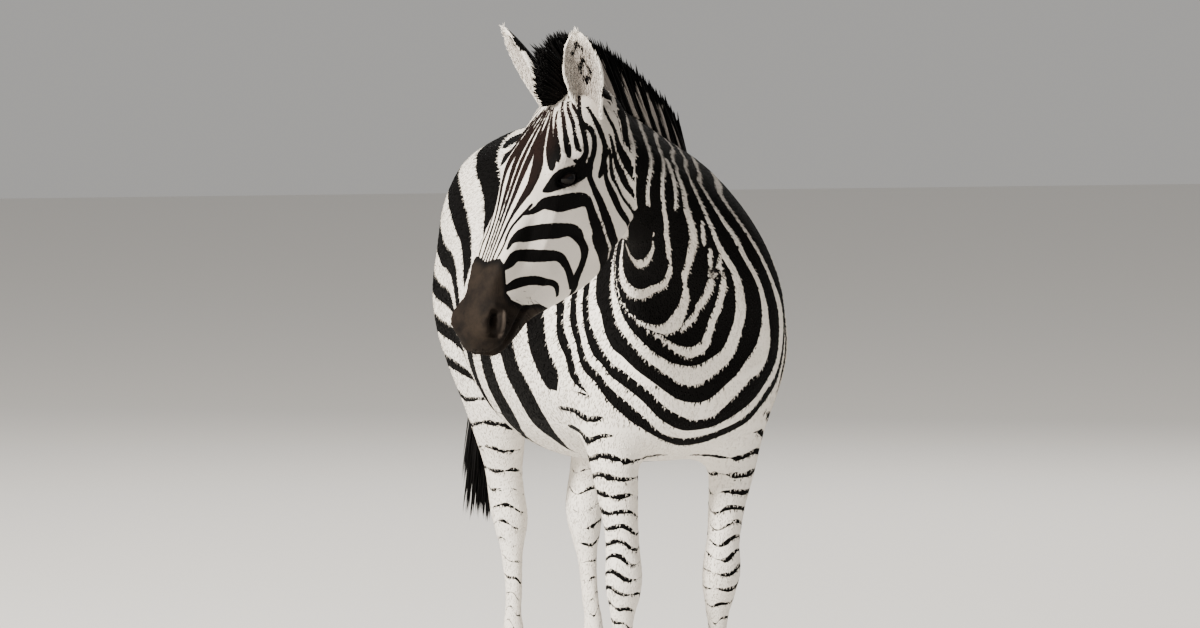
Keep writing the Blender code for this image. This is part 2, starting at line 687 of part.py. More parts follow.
def main():
    for old in list(bpy.data.objects):
        bpy.data.objects.remove(old)
    flesh = thin_flesh(fuse_clay(make_clay()))
    flesh.vertex_groups.clear()
    solid = flesh.copy()
    solid.data = flesh.data.copy()
    bpy.context.scene.collection.objects.link(solid)

    dark, hairy, shiny = [], [], []
    mane = make_mane()
    ears = [make_ear("left"), make_ear("right")]
    ears = [clear_of(ear, [solid]) for ear in ears]
    mane = clear_of(mane, [solid])
    mane = clear_of(mane, ears)
    tuft_bm = bmesh.new()
    add_loft(tuft_bm, tube_rings(TUFT, 11, 12))
    tuft = clear_of(finish_mesh(tuft_bm, "tail_tuft"), [solid], GAP)
    dark += [mane, tuft]
    hairy += ears
    drop(solid)

    # the flesh ends at the top of the hooves
    slab = [(-1.5, -0.2), (-1.5, CORONET_Z), (1.5, CORONET_Z), (1.5, -0.2)]
    below = prism("tool", along_x, slab, -1.0, 1.0)
    trimmed = cut(flesh, below, "DIFFERENCE")
    drop(below)
    drop(flesh)
    head, rest = part_off(trimmed, "head", head_tool)
    for side_name, side in (("left", 1), ("right", -1)):
        socket = make_ball("tool", eye_place(side), EYE_RADIUS + GAP, EYE_PARTS)
        less = cut(head, socket, "DIFFERENCE")
        drop(socket)
        drop(head)
        head = less
        shiny.append(make_ball("eye_" + side_name, eye_place(side), EYE_RADIUS, EYE_PARTS))
    keep_largest(head)
    head.name = head.data.name = "head"
    neck, rest = part_off(rest, "neck", neck_tool)
    tail, rest = part_off(rest, "tail", tail_tool)
    hairy += [head, neck, tail]
    for end, make in (("fore", foreleg_tool), ("hind", hindleg_tool)):
        for side_name, side in (("left", 1), ("right", -1)):
            leg, rest = part_off(rest, f"leg_{end}_{side_name}", make(side))
            hairy.append(leg)
    trunk = keep_largest(rest)
    trunk.name = trunk.data.name = "trunk"
    hairy.append(trunk)
    for end, side_name, table, side, step, outward in LEGS:
        dark.append(make_hoof(end, side_name, table, side, step, outward))

    for obj in hairy:
        colour(obj, (0.82, 0.78, 0.72), 0.8)
    for obj in dark:
        colour(obj, (0.045, 0.038, 0.035), 0.7)
    for obj in shiny:
        colour(obj, (0.02, 0.012, 0.008), 0.1)

    # the middle of the footprint goes to the origin
    pieces = hairy + dark + shiny
    points = [v.co for obj in pieces for v in obj.data.vertices]
    low = Vector([min(p[k] for p in points) for k in range(3)])
    high = Vector([max(p[k] for p in points) for k in range(3)])
    shift = Matrix.Translation((-(low.x + high.x) / 2, -(low.y + high.y) / 2, -low.z))
    for obj in pieces:
        obj.data.transform(shift)


if __name__ == "__main__":
    main()
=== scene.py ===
"""A museum-type model of a plains zebra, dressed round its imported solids.

The zebra faces -Y with its left side at +X, and looks to its right. Metres, +Z up. Most tables are written in
whole millimetres or hundredths, and scaled() turns them into metres and shares.
"""

import math

import bmesh
import bpy
import numpy as np
from mathutils import Matrix, Vector


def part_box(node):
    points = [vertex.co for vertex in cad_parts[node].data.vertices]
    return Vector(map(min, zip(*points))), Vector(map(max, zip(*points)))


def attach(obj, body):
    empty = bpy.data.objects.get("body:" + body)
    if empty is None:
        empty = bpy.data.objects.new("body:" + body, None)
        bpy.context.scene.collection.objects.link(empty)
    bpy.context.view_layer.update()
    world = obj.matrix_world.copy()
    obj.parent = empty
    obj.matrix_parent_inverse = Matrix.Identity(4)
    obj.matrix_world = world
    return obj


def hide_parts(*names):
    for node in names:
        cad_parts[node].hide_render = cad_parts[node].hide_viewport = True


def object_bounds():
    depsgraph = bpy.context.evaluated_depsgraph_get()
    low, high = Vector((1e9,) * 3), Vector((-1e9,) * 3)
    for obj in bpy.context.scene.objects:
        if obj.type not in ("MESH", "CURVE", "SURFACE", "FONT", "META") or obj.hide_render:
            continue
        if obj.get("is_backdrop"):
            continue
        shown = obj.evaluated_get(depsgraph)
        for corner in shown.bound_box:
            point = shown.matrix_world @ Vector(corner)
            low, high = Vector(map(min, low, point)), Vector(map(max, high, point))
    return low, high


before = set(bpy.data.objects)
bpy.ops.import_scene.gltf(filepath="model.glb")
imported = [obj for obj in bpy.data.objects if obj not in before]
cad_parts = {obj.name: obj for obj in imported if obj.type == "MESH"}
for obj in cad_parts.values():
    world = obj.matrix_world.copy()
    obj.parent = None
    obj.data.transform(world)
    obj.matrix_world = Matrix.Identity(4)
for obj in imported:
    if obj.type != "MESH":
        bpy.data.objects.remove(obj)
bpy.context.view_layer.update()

# ---------------------------------------------------------------- nodes and materials
# Paints and the tree that plants the hair are laid node by node. Each node is fed by plain values or by the
# wires that come out of earlier nodes.


class Wire:
    """What comes out of a node; sums and products of wires lay Math nodes."""

    def __init__(self, tree, socket):
        self.tree, self.socket = tree, socket

    def math(self, operation, *others, clamp=False):
        inputs = enumerate((self, *others))
        return lay(self.tree, "ShaderNodeMath", inputs, operation=operation, use_clamp=clamp)

    def into(self, node, name):
        self.tree.links.new(self.socket, node.inputs[name])

    def __add__(self, other):
        return self.math("ADD", other)

    def __sub__(self, other):
        return self.math("SUBTRACT", other)

    def __rsub__(self, other):
        return lay(self.tree, "ShaderNodeMath", enumerate((other, self)), operation="SUBTRACT")

    def __mul__(self, other):
        return self.math("MULTIPLY", other)

    def __abs__(self):
        return self.math("ABSOLUTE")


def lay(tree, kind, inputs=(), out=0, **settings):
    """Lay a node with its settings, then its inputs by name or number; gives the wire of one output."""
    node = tree.nodes.new(kind)
    for key, value in settings.items():
        setattr(node, key, value)
    for key, value in dict(inputs).items():
        if isinstance(value, Wire):
            value.into(node, key)
        else:
            node.inputs[key].default_value = value
    return Wire(tree, node.outputs[out])


def noise(tree, scale, detail=2.0, rough=0.5, stretch=(1, 1, 1)):
    place = lay(tree, "ShaderNodeTexCoord", out="Object")
    place = lay(tree, "ShaderNodeMapping", {"Scale": stretch, "Vector": place})
    inputs = {"Scale": scale, "Detail": detail, "Roughness": rough, "Vector": place}
    return lay(tree, "ShaderNodeTexNoise", inputs)


def mix(share, first, second):
    """From the first colour at 0 to the second at 1; each is a wire or a triple."""
    first, second = ((*c, 1.0) if isinstance(c, tuple) else c for c in (first, second))
    inputs = {0: share, 6: first, 7: second}
    return lay(share.tree, "ShaderNodeMix", inputs, 2, data_type="RGBA", clamp_factor=True)


def parts(tree, name):
    """The three numbers that a mesh keeps in the vector attribute of that name."""
    vector = lay(tree, "ShaderNodeAttribute", out="Vector", attribute_name=name)
    first = lay(tree, "ShaderNodeSeparateXYZ", {0: vector})
    return [Wire(tree, socket) for socket in first.socket.node.outputs]


def roughen(shader, height, strength, distance):
    push = lay(height.tree, "ShaderNodeBump", {"Strength": strength, "Distance": distance, "Height": height})
    push.into(shader, "Normal")


def new_material(name, colour, roughness, specular=0.5):
    """A material with a Principled shader; gives the material, its tree and the shader."""
    material = bpy.data.materials.new(name)
    material.use_nodes = True
    shader = material.node_tree.nodes["Principled BSDF"]
    shader.inputs["Base Color"].default_value = (*colour, 1.0)
    shader.inputs["Roughness"].default_value = roughness
    shader.inputs["Specular IOR Level"].default_value = specular
    return material, material.node_tree, shader


def link_object(name, data):
    obj = bpy.data.objects.new(name, data)
    bpy.context.scene.collection.objects.link(obj)
    return obj


# ---------------------------------------------------------------- the stand, the light and the camera
# The model stands on a plain pale floor under soft studio lamps. The camera is low, far off and a little
# to the zebra's right, as a visitor with a long lens would be.
FLOOR_REACH = 30
floor_mesh = bpy.data.meshes.new("floor")
corners = [(x * FLOOR_REACH, y * FLOOR_REACH, 0) for x, y in ((-1, -1), (1, -1), (1, 1), (-1, 1))]
floor_mesh.from_pydata(corners, [], [(0, 1, 2, 3)])
floor = link_object("floor", floor_mesh)
floor_paint, tree, shader = new_material("floor_paint", (0.80, 0.78, 0.75), 0.85)
grain = lay(tree, "ShaderNodeTexNoise", {"Scale": 3.0, "Detail": 6.0})
lay(tree, "ShaderNodeMapRange", {"Value": grain, "To Min": 0.80, "To Max": 0.88}).into(shader, "Roughness")
floor_mesh.materials.append(floor_paint)
floor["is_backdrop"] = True

world = bpy.data.worlds.new("studio")
bpy.context.scene.world = world
world.use_nodes = True
sky = world.node_tree.nodes["Background"]
sky.inputs["Color"].default_value = (0.95, 0.93, 0.90, 1)
sky.inputs["Strength"].default_value = 0.44

# name, place, target, width, watts, colour of the round soft lamps
LAMPS = [
    ("key", (-8.0, -3.6, 6.6), (0, -0.3, 0.9), 1.8, 3700, (1.0, 0.95, 0.87)),
    ("fill", (5.0, -7.5, 3.0), (0, 0, 0.9), 4.0, 25, (0.86, 0.91, 1.0)),
    ("back", (3.5, 6.5, 5.0), (0, 0, 1.0), 3.0, 260, (1.0, 0.97, 0.93)),
]
for name, place, target, size, watts, colour in LAMPS:
    lamp = bpy.data.lights.new(name, "AREA")
    lamp.shape, lamp.size, lamp.energy, lamp.color = "DISK", size, watts, colour
    obj = link_object(name, lamp)
    obj.location = place
    obj.rotation_euler = (Vector(target) - Vector(place)).to_track_quat("-Z", "Y").to_euler()

# ---------------------------------------------------------------- the head's own frame
# The skull is placed by the poll between the ears, the length of the face and three angles. Points on the
# head are given ahead along the face, up from the brow line and left of the midline.
WITHERS_Z, CROUP_Z, BELLY_Z, BARREL_HALF_WIDTH = 1.305, 1.337, 0.606, 0.312
HEAD_LENGTH = 0.568
HEAD_YAW, HEAD_PITCH, HEAD_ROLL = math.radians(67), math.radians(58.5), math.radians(-4)
POLL = Vector((-0.362, -0.800, 1.434))
HEAD_AHEAD = Vector((-math.sin(HEAD_YAW) * math.cos(HEAD_PITCH), -math.cos(HEAD_YAW) * math.cos(HEAD_PITCH),
                     -math.sin(HEAD_PITCH)))
LEVEL_LEFT = Vector((math.cos(HEAD_YAW), -math.sin(HEAD_YAW), 0.0))
HEAD_LEFT = LEVEL_LEFT * math.cos(HEAD_ROLL) + HEAD_AHEAD.cross(LEVEL_LEFT) * math.sin(HEAD_ROLL)
HEAD_UP = HEAD_AHEAD.cross(HEAD_LEFT)
HEAD_STRETCH = HEAD_LENGTH / 0.600  # the head's tables are for a face of 0.6 m
EYE_AHEAD, EYE_UP, EYE_LEFT, EYE_RADIUS = 0.188, -0.052, 0.0700, 0.0215


def on_head(ahead, up, left):
    """A point from its distances along the face, above the brow line and left of the midline."""
    return POLL + HEAD_AHEAD * (ahead * HEAD_STRETCH) + HEAD_UP * up + HEAD_LEFT * left


def eye_place(side):
    return on_head(EYE_AHEAD, EYE_UP, EYE_LEFT * side)


eye_low, eye_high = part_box("eye_left")
SHIFT = (eye_low + eye_high) / 2 - eye_place(1)

CAMERA_PLACE, CAMERA_TILT, CAMERA_TURN = (-4.57345, -14.07564, 1.75), 86.8147, -17.9253
camera = link_object("camera", bpy.data.cameras.new("camera"))
camera.data.lens, camera.data.sensor_width, camera.data.clip_end = 207.0, 36.0, 200.0
camera.location = Vector(CAMERA_PLACE) + SHIFT
camera.rotation_euler = (math.radians(CAMERA_TILT), 0.0, math.radians(CAMERA_TURN))
bpy.context.scene.camera = camera


# ---------------------------------------------------------------- the flesh under the skin
# The body is one piece of taxidermist's clay: lofted sections and muscle masses, joined, smoothed and
# brought in by the depth of the coat.
def blend_rows(rows, t):
    """The row at t between 0 and 1 along a table, on a smooth curve through its rows."""
    place = t * (len(rows) - 1)
    i = min(int(place), len(rows) - 2)
    f = place - i
    before, a = rows[max(i - 1, 0)], rows[i]
    b, after = rows[i + 1], rows[min(i + 2, len(rows) - 1)]
    return [
        0.5 * (2 * q + (r - p) * f + (2 * p - 5 * q + 4 * r - s) * f**2 + (3 * q - p - 3 * r + s) * f**3)
        for p, q, r, s in zip(before, a, b, after)
    ]


def sampled(rows, count):
    """Rows at even steps along a table, from its first to its last."""
    return [blend_rows(rows, k / (count - 1)) for k in range(count)]


def scaled(rows, *units):
    """A table's rows with each column divided by its unit; the last unit serves all columns that follow."""
    units = units + units[-1:] * (len(rows[0]) - len(units))
    return [tuple(value / unit for value, unit in zip(row, units)) for row in rows]


def ease(value, start, end):
    """0 up to start, 1 past end, and a smooth rise between them; for numbers and arrays."""
    share = np.clip((value - start) / (end - start), 0.0, 1.0)
    return share * share * (3 - 2 * share)


def egg_ring(top, bottom, side, half_width, widest, top_power, bottom_power, points=28):
    """Points round a section: an egg between top and bottom, widest at a share of its height."""
    middle = bottom.lerp(top, widest)
    ring = []
    for k in range(points):
        turn = 2 * math.pi * k / points
        c, s = math.cos(turn), math.sin(turn)
        power = top_power if c > 0 else bottom_power
        reach = (top - middle) if c > 0 else (middle - bottom)
        up = math.copysign(abs(c) ** (2 / power), c)
        out = math.copysign(abs(s) ** (2 / power), s)
        ring.append(middle + reach * up + side * (half_width * out))
    return ring


def bridge(bm, loops):
    """Faces between neighbouring loops of equal counts of points."""
    for a, b in zip(loops, loops[1:]):
        for k in range(len(a)):
            n = (k + 1) % len(a)
            bm.faces.new((a[k], a[n], b[n], b[k]))


def add_loft(bm, rings):
    """A closed skin through rings of equal point counts, with its two ends filled."""
    loops = [[bm.verts.new(p) for p in ring] for ring in rings]
    bridge(bm, loops)
    bm.faces.new(list(reversed(loops[0])))
    bm.faces.new(loops[-1])


def add_ball(bm, centre, radii, axes):
    """An ellipsoid with its radii along three axes."""
    turn = Matrix(axes).transposed().to_4x4()
    place = Matrix.Translation(centre) @ turn @ Matrix.Diagonal((*radii, 1.0))
    bmesh.ops.create_uvsphere(bm, u_segments=32, v_segments=20, radius=1.0, matrix=place)


def body_axes(pitch_deg):
    """Ahead, up and left of a mass whose ahead end is pitched up."""
    turn = Matrix.Rotation(math.radians(-pitch_deg), 3, "X")
    return turn @ Vector((0, -1, 0)), turn @ Vector((0, 0, 1)), turn @ Vector((1, 0, 0))


def finish_mesh(bm, name):
    bmesh.ops.recalc_face_normals(bm, faces=bm.faces)
    mesh = bpy.data.meshes.new(name)
    bm.to_mesh(mesh)
    bm.free()
    return link_object(name, mesh)


# ahead of the middle, top, bottom, half width, height of the widest part, roundness above and below
TRUNK = [
    (0.672, 0.965, 0.860, 0.070, 0.50, 2.0, 2.0),
    (0.640, 1.040, 0.765, 0.140, 0.46, 1.9, 2.0),
    (0.550, 1.150, 0.680, 0.205, 0.42, 1.7, 2.0),
    (0.440, WITHERS_Z - 0.022, 0.642, 0.262, 0.39, 1.55, 2.1),
    (0.320, WITHERS_Z - 0.006, 0.628, 0.292, 0.41, 1.55, 2.1),
    (0.160, 1.280, 0.616, 0.312, 0.44, 1.75, 2.1),
    (0.000, 1.265, BELLY_Z, BARREL_HALF_WIDTH, 0.45, 1.9, 2.1),
    (-0.150, 1.279, 0.618, 0.300, 0.47, 1.9, 2.1),
    (-0.280, 1.313, 0.668, 0.278, 0.50, 1.95, 2.0),
    (-0.400, CROUP_Z, 0.745, 0.258, 0.52, 1.9, 2.0),
    (-0.510, 1.320, 0.820, 0.236, 0.54, 1.9, 2.0),
    (-0.610, 1.268, 0.885, 0.200, 0.55, 1.9, 2.0),
    (-0.680, 1.205, 0.955, 0.142, 0.55, 2.0, 2.0),
    (-0.710, 1.145, 1.020, 0.075, 0.50, 2.0, 2.0),
]
# crest (x, y, z), throat (x, y, z), half width in mm, and ten times the fullness of the throat side
NECK = scaled([
    (0, -290, 1270, 0, -560, 720, 225, 22), (0, -400, 1276, 0, -640, 830, 208, 24),
    (-16, -495, 1302, -26, -692, 945, 158, 26), (-95, -575, 1348, -90, -726, 1046, 110, 24),
    (-198, -660, 1402, -160, -752, 1128, 87, 22), (-300, -742, 1434, -222, -768, 1190, 77, 21),
    (-352, -785, 1428, -262, -780, 1208, 66, 21),
], 1000, 1000, 1000, 1000, 1000, 1000, 1000, 10)
# along the face, brow line, jaw line, half width in mm, height of the widest part in hundredths, and ten
# times the roundness above and below
HEAD = scaled([
    (-55, -45, -150, 46, 50, 20, 20), (-25, -12, -190, 70, 55, 20, 20), (30, 4, -225, 83, 60, 21, 20),
    (90, 10, -256, 88, 64, 23, 20), (145, 14, -280, 90, 68, 25, 20), (200, 14, -292, 89, 70, 25, 20),
    (255, 8, -302, 80, 69, 24, 20), (310, 1, -286, 70, 65, 23, 20), (370, -6, -249, 61, 59, 23, 21),
    (430, -12, -204, 55, 53, 23, 22), (490, -17, -160, 56, 50, 23, 23), (540, -26, -148, 57, 48, 22, 23),
    (575, -43, -128, 50, 46, 21, 22), (600, -68, -100, 26, 45, 20, 20),
], 1000, 1000, 1000, 1000, 100, 10)
# centre (along, up, left), radii (along, up, left) of the masses on each side of the head
HEAD_MASSES = [
    ((0.180, -0.170, 0.050), (0.108, 0.108, 0.038)),  # cheek muscle
    ((0.178, -0.026, 0.070), (0.040, 0.022, 0.022)),  # brow over the eye
    ((0.196, -0.086, 0.074), (0.050, 0.016, 0.018)),  # bone under the eye
    ((0.300, -0.088, 0.058), (0.085, 0.014, 0.014)),  # ridge down the cheek
    ((0.350, -0.030, 0.036), (0.130, 0.022, 0.018)),  # side of the nose
    ((0.535, -0.058, 0.043), (0.042, 0.030, 0.021)),  # nostril wing
    ((0.552, -0.098, 0.026), (0.042, 0.034, 0.030)),  # upper lip
    ((0.000, -0.056, 0.050), (0.034, 0.020, 0.020)),  # ear root
]
CHIN = ((0.497, -0.142, 0.0), (0.040, 0.022, 0.034))
# height, out from the midline, ahead of the middle, half width, reach ahead, reach behind, in mm
FORELEG = scaled([
    (960, 130, 490, 60, 80, 110), (860, 152, 480, 76, 92, 135), (770, 155, 465, 68, 78, 115),
    (690, 143, 456, 60, 70, 88), (610, 130, 456, 52, 62, 64), (530, 120, 458, 44, 50, 48),
    (465, 114, 462, 42, 43, 42), (420, 112, 465, 47, 47, 43), (380, 111, 465, 45, 46, 45),
    (335, 110, 461, 34, 32, 41), (290, 110, 459, 25.5, 24, 37), (220, 110, 458, 24, 24, 36),
    (175, 110, 460, 30, 30, 43), (145, 110, 464, 32, 33, 43), (115, 110, 474, 27, 29, 34),
    (85, 110, 486, 28, 29, 31), (35, 110, 506, 35, 35, 38),
], 1000)
HINDLEG = scaled([
    (1120, 120, -440, 80, 90, 150), (1000, 148, -442, 108, 150, 205), (880, 150, -440, 106, 178, 188),
    (785, 143, -445, 91, 162, 140), (700, 128, -468, 74, 125, 100), (625, 112, -500, 58, 88, 78),
    (562, 100, -530, 46, 62, 74), (510, 92, -552, 43, 55, 78), (462, 87, -562, 47, 54, 63),
    (418, 86, -566, 41, 44, 50), (375, 87, -568, 30, 31, 42), (315, 88, -570, 25, 26, 37),
    (230, 92, -572, 24.5, 26, 37), (180, 94, -570, 30.5, 31, 44), (150, 95, -566, 32.5, 33, 44),
    (118, 96, -556, 27.5, 29, 34), (86, 96, -545, 28, 29, 31), (35, 96, -530, 33, 33, 36),
], 1000)
HIP_Z, CORONET_Z = 0.98, 0.060
# end, side name, table, side, step ahead of the foot, foot out from its place
LEGS = [
    ("fore", "left", FORELEG, 1, -0.065, 0.000),
    ("fore", "right", FORELEG, -1, 0.000, 0.010),
    ("hind", "left", HINDLEG, 1, 0.130, 0.018),
    ("hind", "right", HINDLEG, -1, 0.078, -0.034),
]
# centre (out, ahead, height), radii (ahead, up, out), pitch: muscles of the body, one on each side
BODY_MASSES = [
    ((0.104, 0.410, 0.985), (0.095, 0.170, 0.054), -24),  # shoulder blade and its muscle
    ((0.152, 0.525, 0.900), (0.085, 0.120, 0.060), 0),  # point of the shoulder
    ((0.172, 0.390, 0.850), (0.115, 0.135, 0.058), 25),  # muscle behind the upper arm
    ((0.060, 0.590, 0.830), (0.060, 0.110, 0.058), 0),  # breast
    ((0.105, 0.520, 0.990), (0.085, 0.170, 0.090), 22),  # where the neck spreads into the shoulders
    ((0.128, -0.390, 1.145), (0.200, 0.145, 0.110), 0),  # haunch
    ((0.140, -0.330, 0.960), (0.145, 0.190, 0.088), 15),  # thigh
    ((0.104, -0.560, 1.000), (0.100, 0.180, 0.090), -8),  # back of the thigh
    ((0.138, -0.280, 0.825), (0.070, 0.085, 0.056), 0),  # stifle
]
# centre line (x, y, z) and radius of the fleshy part of the tail, in mm
TAIL = scaled([
    (0, 580, 1235, 50), (0, 670, 1205, 43), (0, 735, 1135, 33), (-4, 768, 1030, 25), (-12, 782, 920, 20),
    (-20, 786, 830, 17),
], 1000)
SKIN_VOXEL = 0.012
COAT_DEPTH = 0.0035


def neck_section(t):
    """Crest, throat, side direction, half width and fullness of the neck, t from 0 at its root to 1."""
    row = blend_rows(NECK, t)
    near = blend_rows(NECK, min(t + 0.02, 1.0))
    back = blend_rows(NECK, max(t - 0.02, 0.0))
    crest, throat = Vector(row[:3]), Vector(row[3:6])
    along = (Vector(near[:3]) + Vector(near[3:6])) - (Vector(back[:3]) + Vector(back[3:6]))
    side = (crest - throat).cross(along).normalized()
    return crest, throat, side, row[6], row[7]


def leg_ring(row, side, step, outward, points=24):
    height, out, ahead, width, front, back = row
    share = float(ease(HIP_Z - height, 0.0, HIP_Z - 0.10))
    x = side * (out + outward * share)
    y = -(ahead + step * share)
    ring = []
    for k in range(points):
        turn = 2 * math.pi * k / points
        reach = front if math.cos(turn) > 0 else back
        ring.append(Vector((x + math.sin(turn) * width, y - math.cos(turn) * reach, height)))
    return ring


def tube_rings(table, count, points=20):
    """Rings across a centre line of (x, y, z, radius) rows."""
    rings = []
    for k in range(count):
        t = k / (count - 1)
        x, y, z, radius = blend_rows(table, t)
        near, back = blend_rows(table, min(t + 0.02, 1)), blend_rows(table, max(t - 0.02, 0))
        turn = (Vector(near[:3]) - Vector(back[:3])).to_track_quat("Z", "Y")
        angles = [2 * math.pi * i / points for i in range(points)]
        spokes = [Vector((math.cos(a), math.sin(a), 0)) * radius for a in angles]
        rings.append([Vector((x, y, z)) + turn @ spoke for spoke in spokes])
    return rings


def make_clay():
    """All the flesh as overlapping closed shapes in one mesh."""
    bm = bmesh.new()
    leftward = Vector((1, 0, 0))
    add_loft(bm, [egg_ring(Vector((0, -ahead, high)), Vector((0, -ahead, low)), leftward, *shape)
                  for ahead, high, low, *shape in sampled(TRUNK, 60)])
    rings = []
    for k in range(40):
        crest, throat, side, width, fullness = neck_section(k / 39)
        rings.append(egg_ring(crest, throat, side, width, 0.34, 1.4, fullness))
    add_loft(bm, rings)
    add_loft(bm, [egg_ring(on_head(ahead, brow, 0), on_head(ahead, jaw, 0), HEAD_LEFT, *shape)
                  for ahead, brow, jaw, *shape in sampled(HEAD, 66)])
    head_axes = (HEAD_AHEAD, HEAD_UP, HEAD_LEFT)
    for (ahead, up, left), radii in HEAD_MASSES:
        for side in (1, -1):
            add_ball(bm, on_head(ahead, up, left * side), radii, head_axes)
    add_ball(bm, on_head(*CHIN[0]), CHIN[1], head_axes)
    for _, _, table, side, step, outward in LEGS:
        add_loft(bm, [leg_ring(row, side, step, outward) for row in sampled(table, 64)])
    for (out, ahead, height), radii, pitch in BODY_MASSES:
        for side in (1, -1):
            add_ball(bm, Vector((out * side, -ahead, height)), radii, body_axes(pitch))
    add_loft(bm, tube_rings(TAIL, 24))
    return finish_mesh(bm, "skin")


def apply_modifiers(obj):
    """Turn what an object's modifiers make into its own mesh."""
    bpy.context.view_layer.update()
    made = obj.evaluated_get(bpy.context.evaluated_depsgraph_get())
    mesh = bpy.data.meshes.new_from_object(made)
    obj.modifiers.clear()
    obj.data = mesh
    return obj


def vertex_array(mesh, field="co"):
    values = np.empty(len(mesh.vertices) * 3)
    mesh.vertices.foreach_get(field, values)
    return values.reshape(-1, 3)


def set_vertices(mesh, points):
    mesh.vertices.foreach_set("co", np.ascontiguousarray(points, float).ravel())
    mesh.update()


def head_parts(points):
    """Distances along the face, up from the brow line and left of the midline, for an array of points."""
    away = points - np.array(POLL)
    ahead = away @ np.array(HEAD_AHEAD) / HEAD_STRETCH
    return ahead, away @ np.array(HEAD_UP), away @ np.array(HEAD_LEFT)


def face_share(points):
    """1 on the head ahead of the ears, 0 elsewhere."""
    ahead, up, left = head_parts(points)
    return ((ahead > 0.0) & (ahead < 0.75) & (np.abs(left) < 0.16) & (up > -0.34)).astype(float)


def torso_share(points):
    """1 on the trunk and the root of the neck, falling to 0 at the legs, the tail and the slim neck."""
    y, z = points[:, 1], points[:, 2]
    share = ease(z, 0.60, 0.76) * ease(-y, -0.66, -0.58) * ease(y, -0.78, -0.62)
    return share * (1 - face_share(points))


def smooth_mesh(mesh, rounds, share, factor=0.5):
    """Move each point towards the middle of its neighbours, as much as its share says."""
    edges = np.empty(len(mesh.edges) * 2, int)
    mesh.edges.foreach_get("vertices", edges)
    a, b = edges.reshape(-1, 2).T
    points = vertex_array(mesh)
    count = np.bincount(a, minlength=len(points)) + np.bincount(b, minlength=len(points))
    weight = (factor * share)[:, None]
    for _ in range(rounds):
        total = np.stack(
            [np.bincount(a, points[b, k], len(points)) + np.bincount(b, points[a, k], len(points))
             for k in range(3)], axis=1)
        points = points + weight * (total / count[:, None] - points)
    set_vertices(mesh, points)


skin = make_clay()
remesh = skin.modifiers.new("fuse", "REMESH")
remesh.mode, remesh.voxel_size = "VOXEL", SKIN_VOXEL
apply_modifiers(skin)
start = vertex_array(skin.data)
on_face = face_share(start)
on_torso = torso_share(start)
smooth_mesh(skin.data, 2, np.ones(len(start)))
smooth_mesh(skin.data, 11, 1 - on_face)
smooth_mesh(skin.data, 64, on_torso)


def refine(mesh, wanted):
    """Split the edges whose two ends are both wanted, so that each face there becomes four."""
    flags = wanted(vertex_array(mesh))
    bm = bmesh.new()
    bm.from_mesh(mesh)
    edges = [e for e in bm.edges if flags[e.verts[0].index] and flags[e.verts[1].index]]
    bmesh.ops.subdivide_edges(bm, edges=edges, cuts=1, use_grid_fill=True)
    bm.to_mesh(mesh)
    bm.free()
    mesh.update()


def away_from(points, spot):
    """Distance of points from a spot (ahead, up, left) of the head, on whichever side is nearer."""
    ahead, up, left = spot
    spots = [np.array(on_head(ahead, up, left * side)) for side in (1, -1)]
    return np.minimum(*(np.linalg.norm(points - place, axis=1) for place in spots))


def head_wanted(points):
    ahead, up, left = head_parts(points)
    return (ahead > -0.01) & (np.abs(left) < 0.104) & (up > -0.325) & (ahead < 0.75)


def lined_wanted(points):
    """The forehead, the nose, the surrounds of the eyes and the lips, which have the finest detail."""
    ahead, up, left = head_parts(points)
    turn = np.degrees(np.arctan2(np.abs(left), up + 0.115 - 0.05 * ahead))
    lined = (turn < 52) & (ahead > 0.03) & (ahead < 0.46)
    lips = (ahead > 0.44) & (ahead < 0.75) & (np.abs(up + 0.085) < 0.060)
    eyes = away_from(points, (EYE_AHEAD - 0.01, EYE_UP, EYE_LEFT + 0.015)) < 0.058
    return (lined | lips | eyes) & head_wanted(points)


def leg_wanted(points):
    return points[:, 2] < 0.63


NOSTRIL = (0.540, -0.054, 0.056)


def finest_wanted(points):
    lids = away_from(points, (EYE_AHEAD, EYE_UP, EYE_LEFT + 0.015)) < 0.034
    return lids | (away_from(points, NOSTRIL) < 0.036)


for wanted, rounds in ((leg_wanted, 3), (head_wanted, 3), (lined_wanted, 3), (finest_wanted, 2)):
    refine(skin.data, wanted)
    smooth_mesh(skin.data, rounds, wanted(vertex_array(skin.data)).astype(float))


# ---------------------------------------------------------------- carving the head
# Folds, ridges, nostrils and lips are strokes: a path on the skin, how wide the tool is and how much it adds
# or takes off.
def path_distance(points, path):
    """Distance of each point from a path, and how far along it (0 to 1) the nearest place is."""
    path = np.array(path, float)
    best = np.full(len(points), 1e9)
    along = np.zeros(len(points))
    for k in range(len(path) - 1):
        a, b = path[k], path[k + 1]
        leg = b - a
        share = np.clip((points - a) @ leg / max(leg @ leg, 1e-12), 0, 1)
        far = np.linalg.norm(points - a - share[:, None] * leg, axis=1)
        closer = far < best
        best[closer] = far[closer]
        along[closer] = (k + share[closer]) / (len(path) - 1)
    return best, along


def stroke(mesh, path, width, height, taper=0.3):
    """Raise (or cut, if height is below 0) the skin along a path, on both sides of the head."""
    points, normals = vertex_array(mesh), vertex_array(mesh, "normal")
    for side in (1, -1):
        far, along = path_distance(points, [on_head(a, u, l * side) for a, u, l in path])
        ends = ease(along, -0.001, taper) * ease(1 - along, -0.001, taper)
        points = points + normals * (np.exp(-((far / width) ** 2)) * height * ends)[:, None]
    set_vertices(mesh, points)


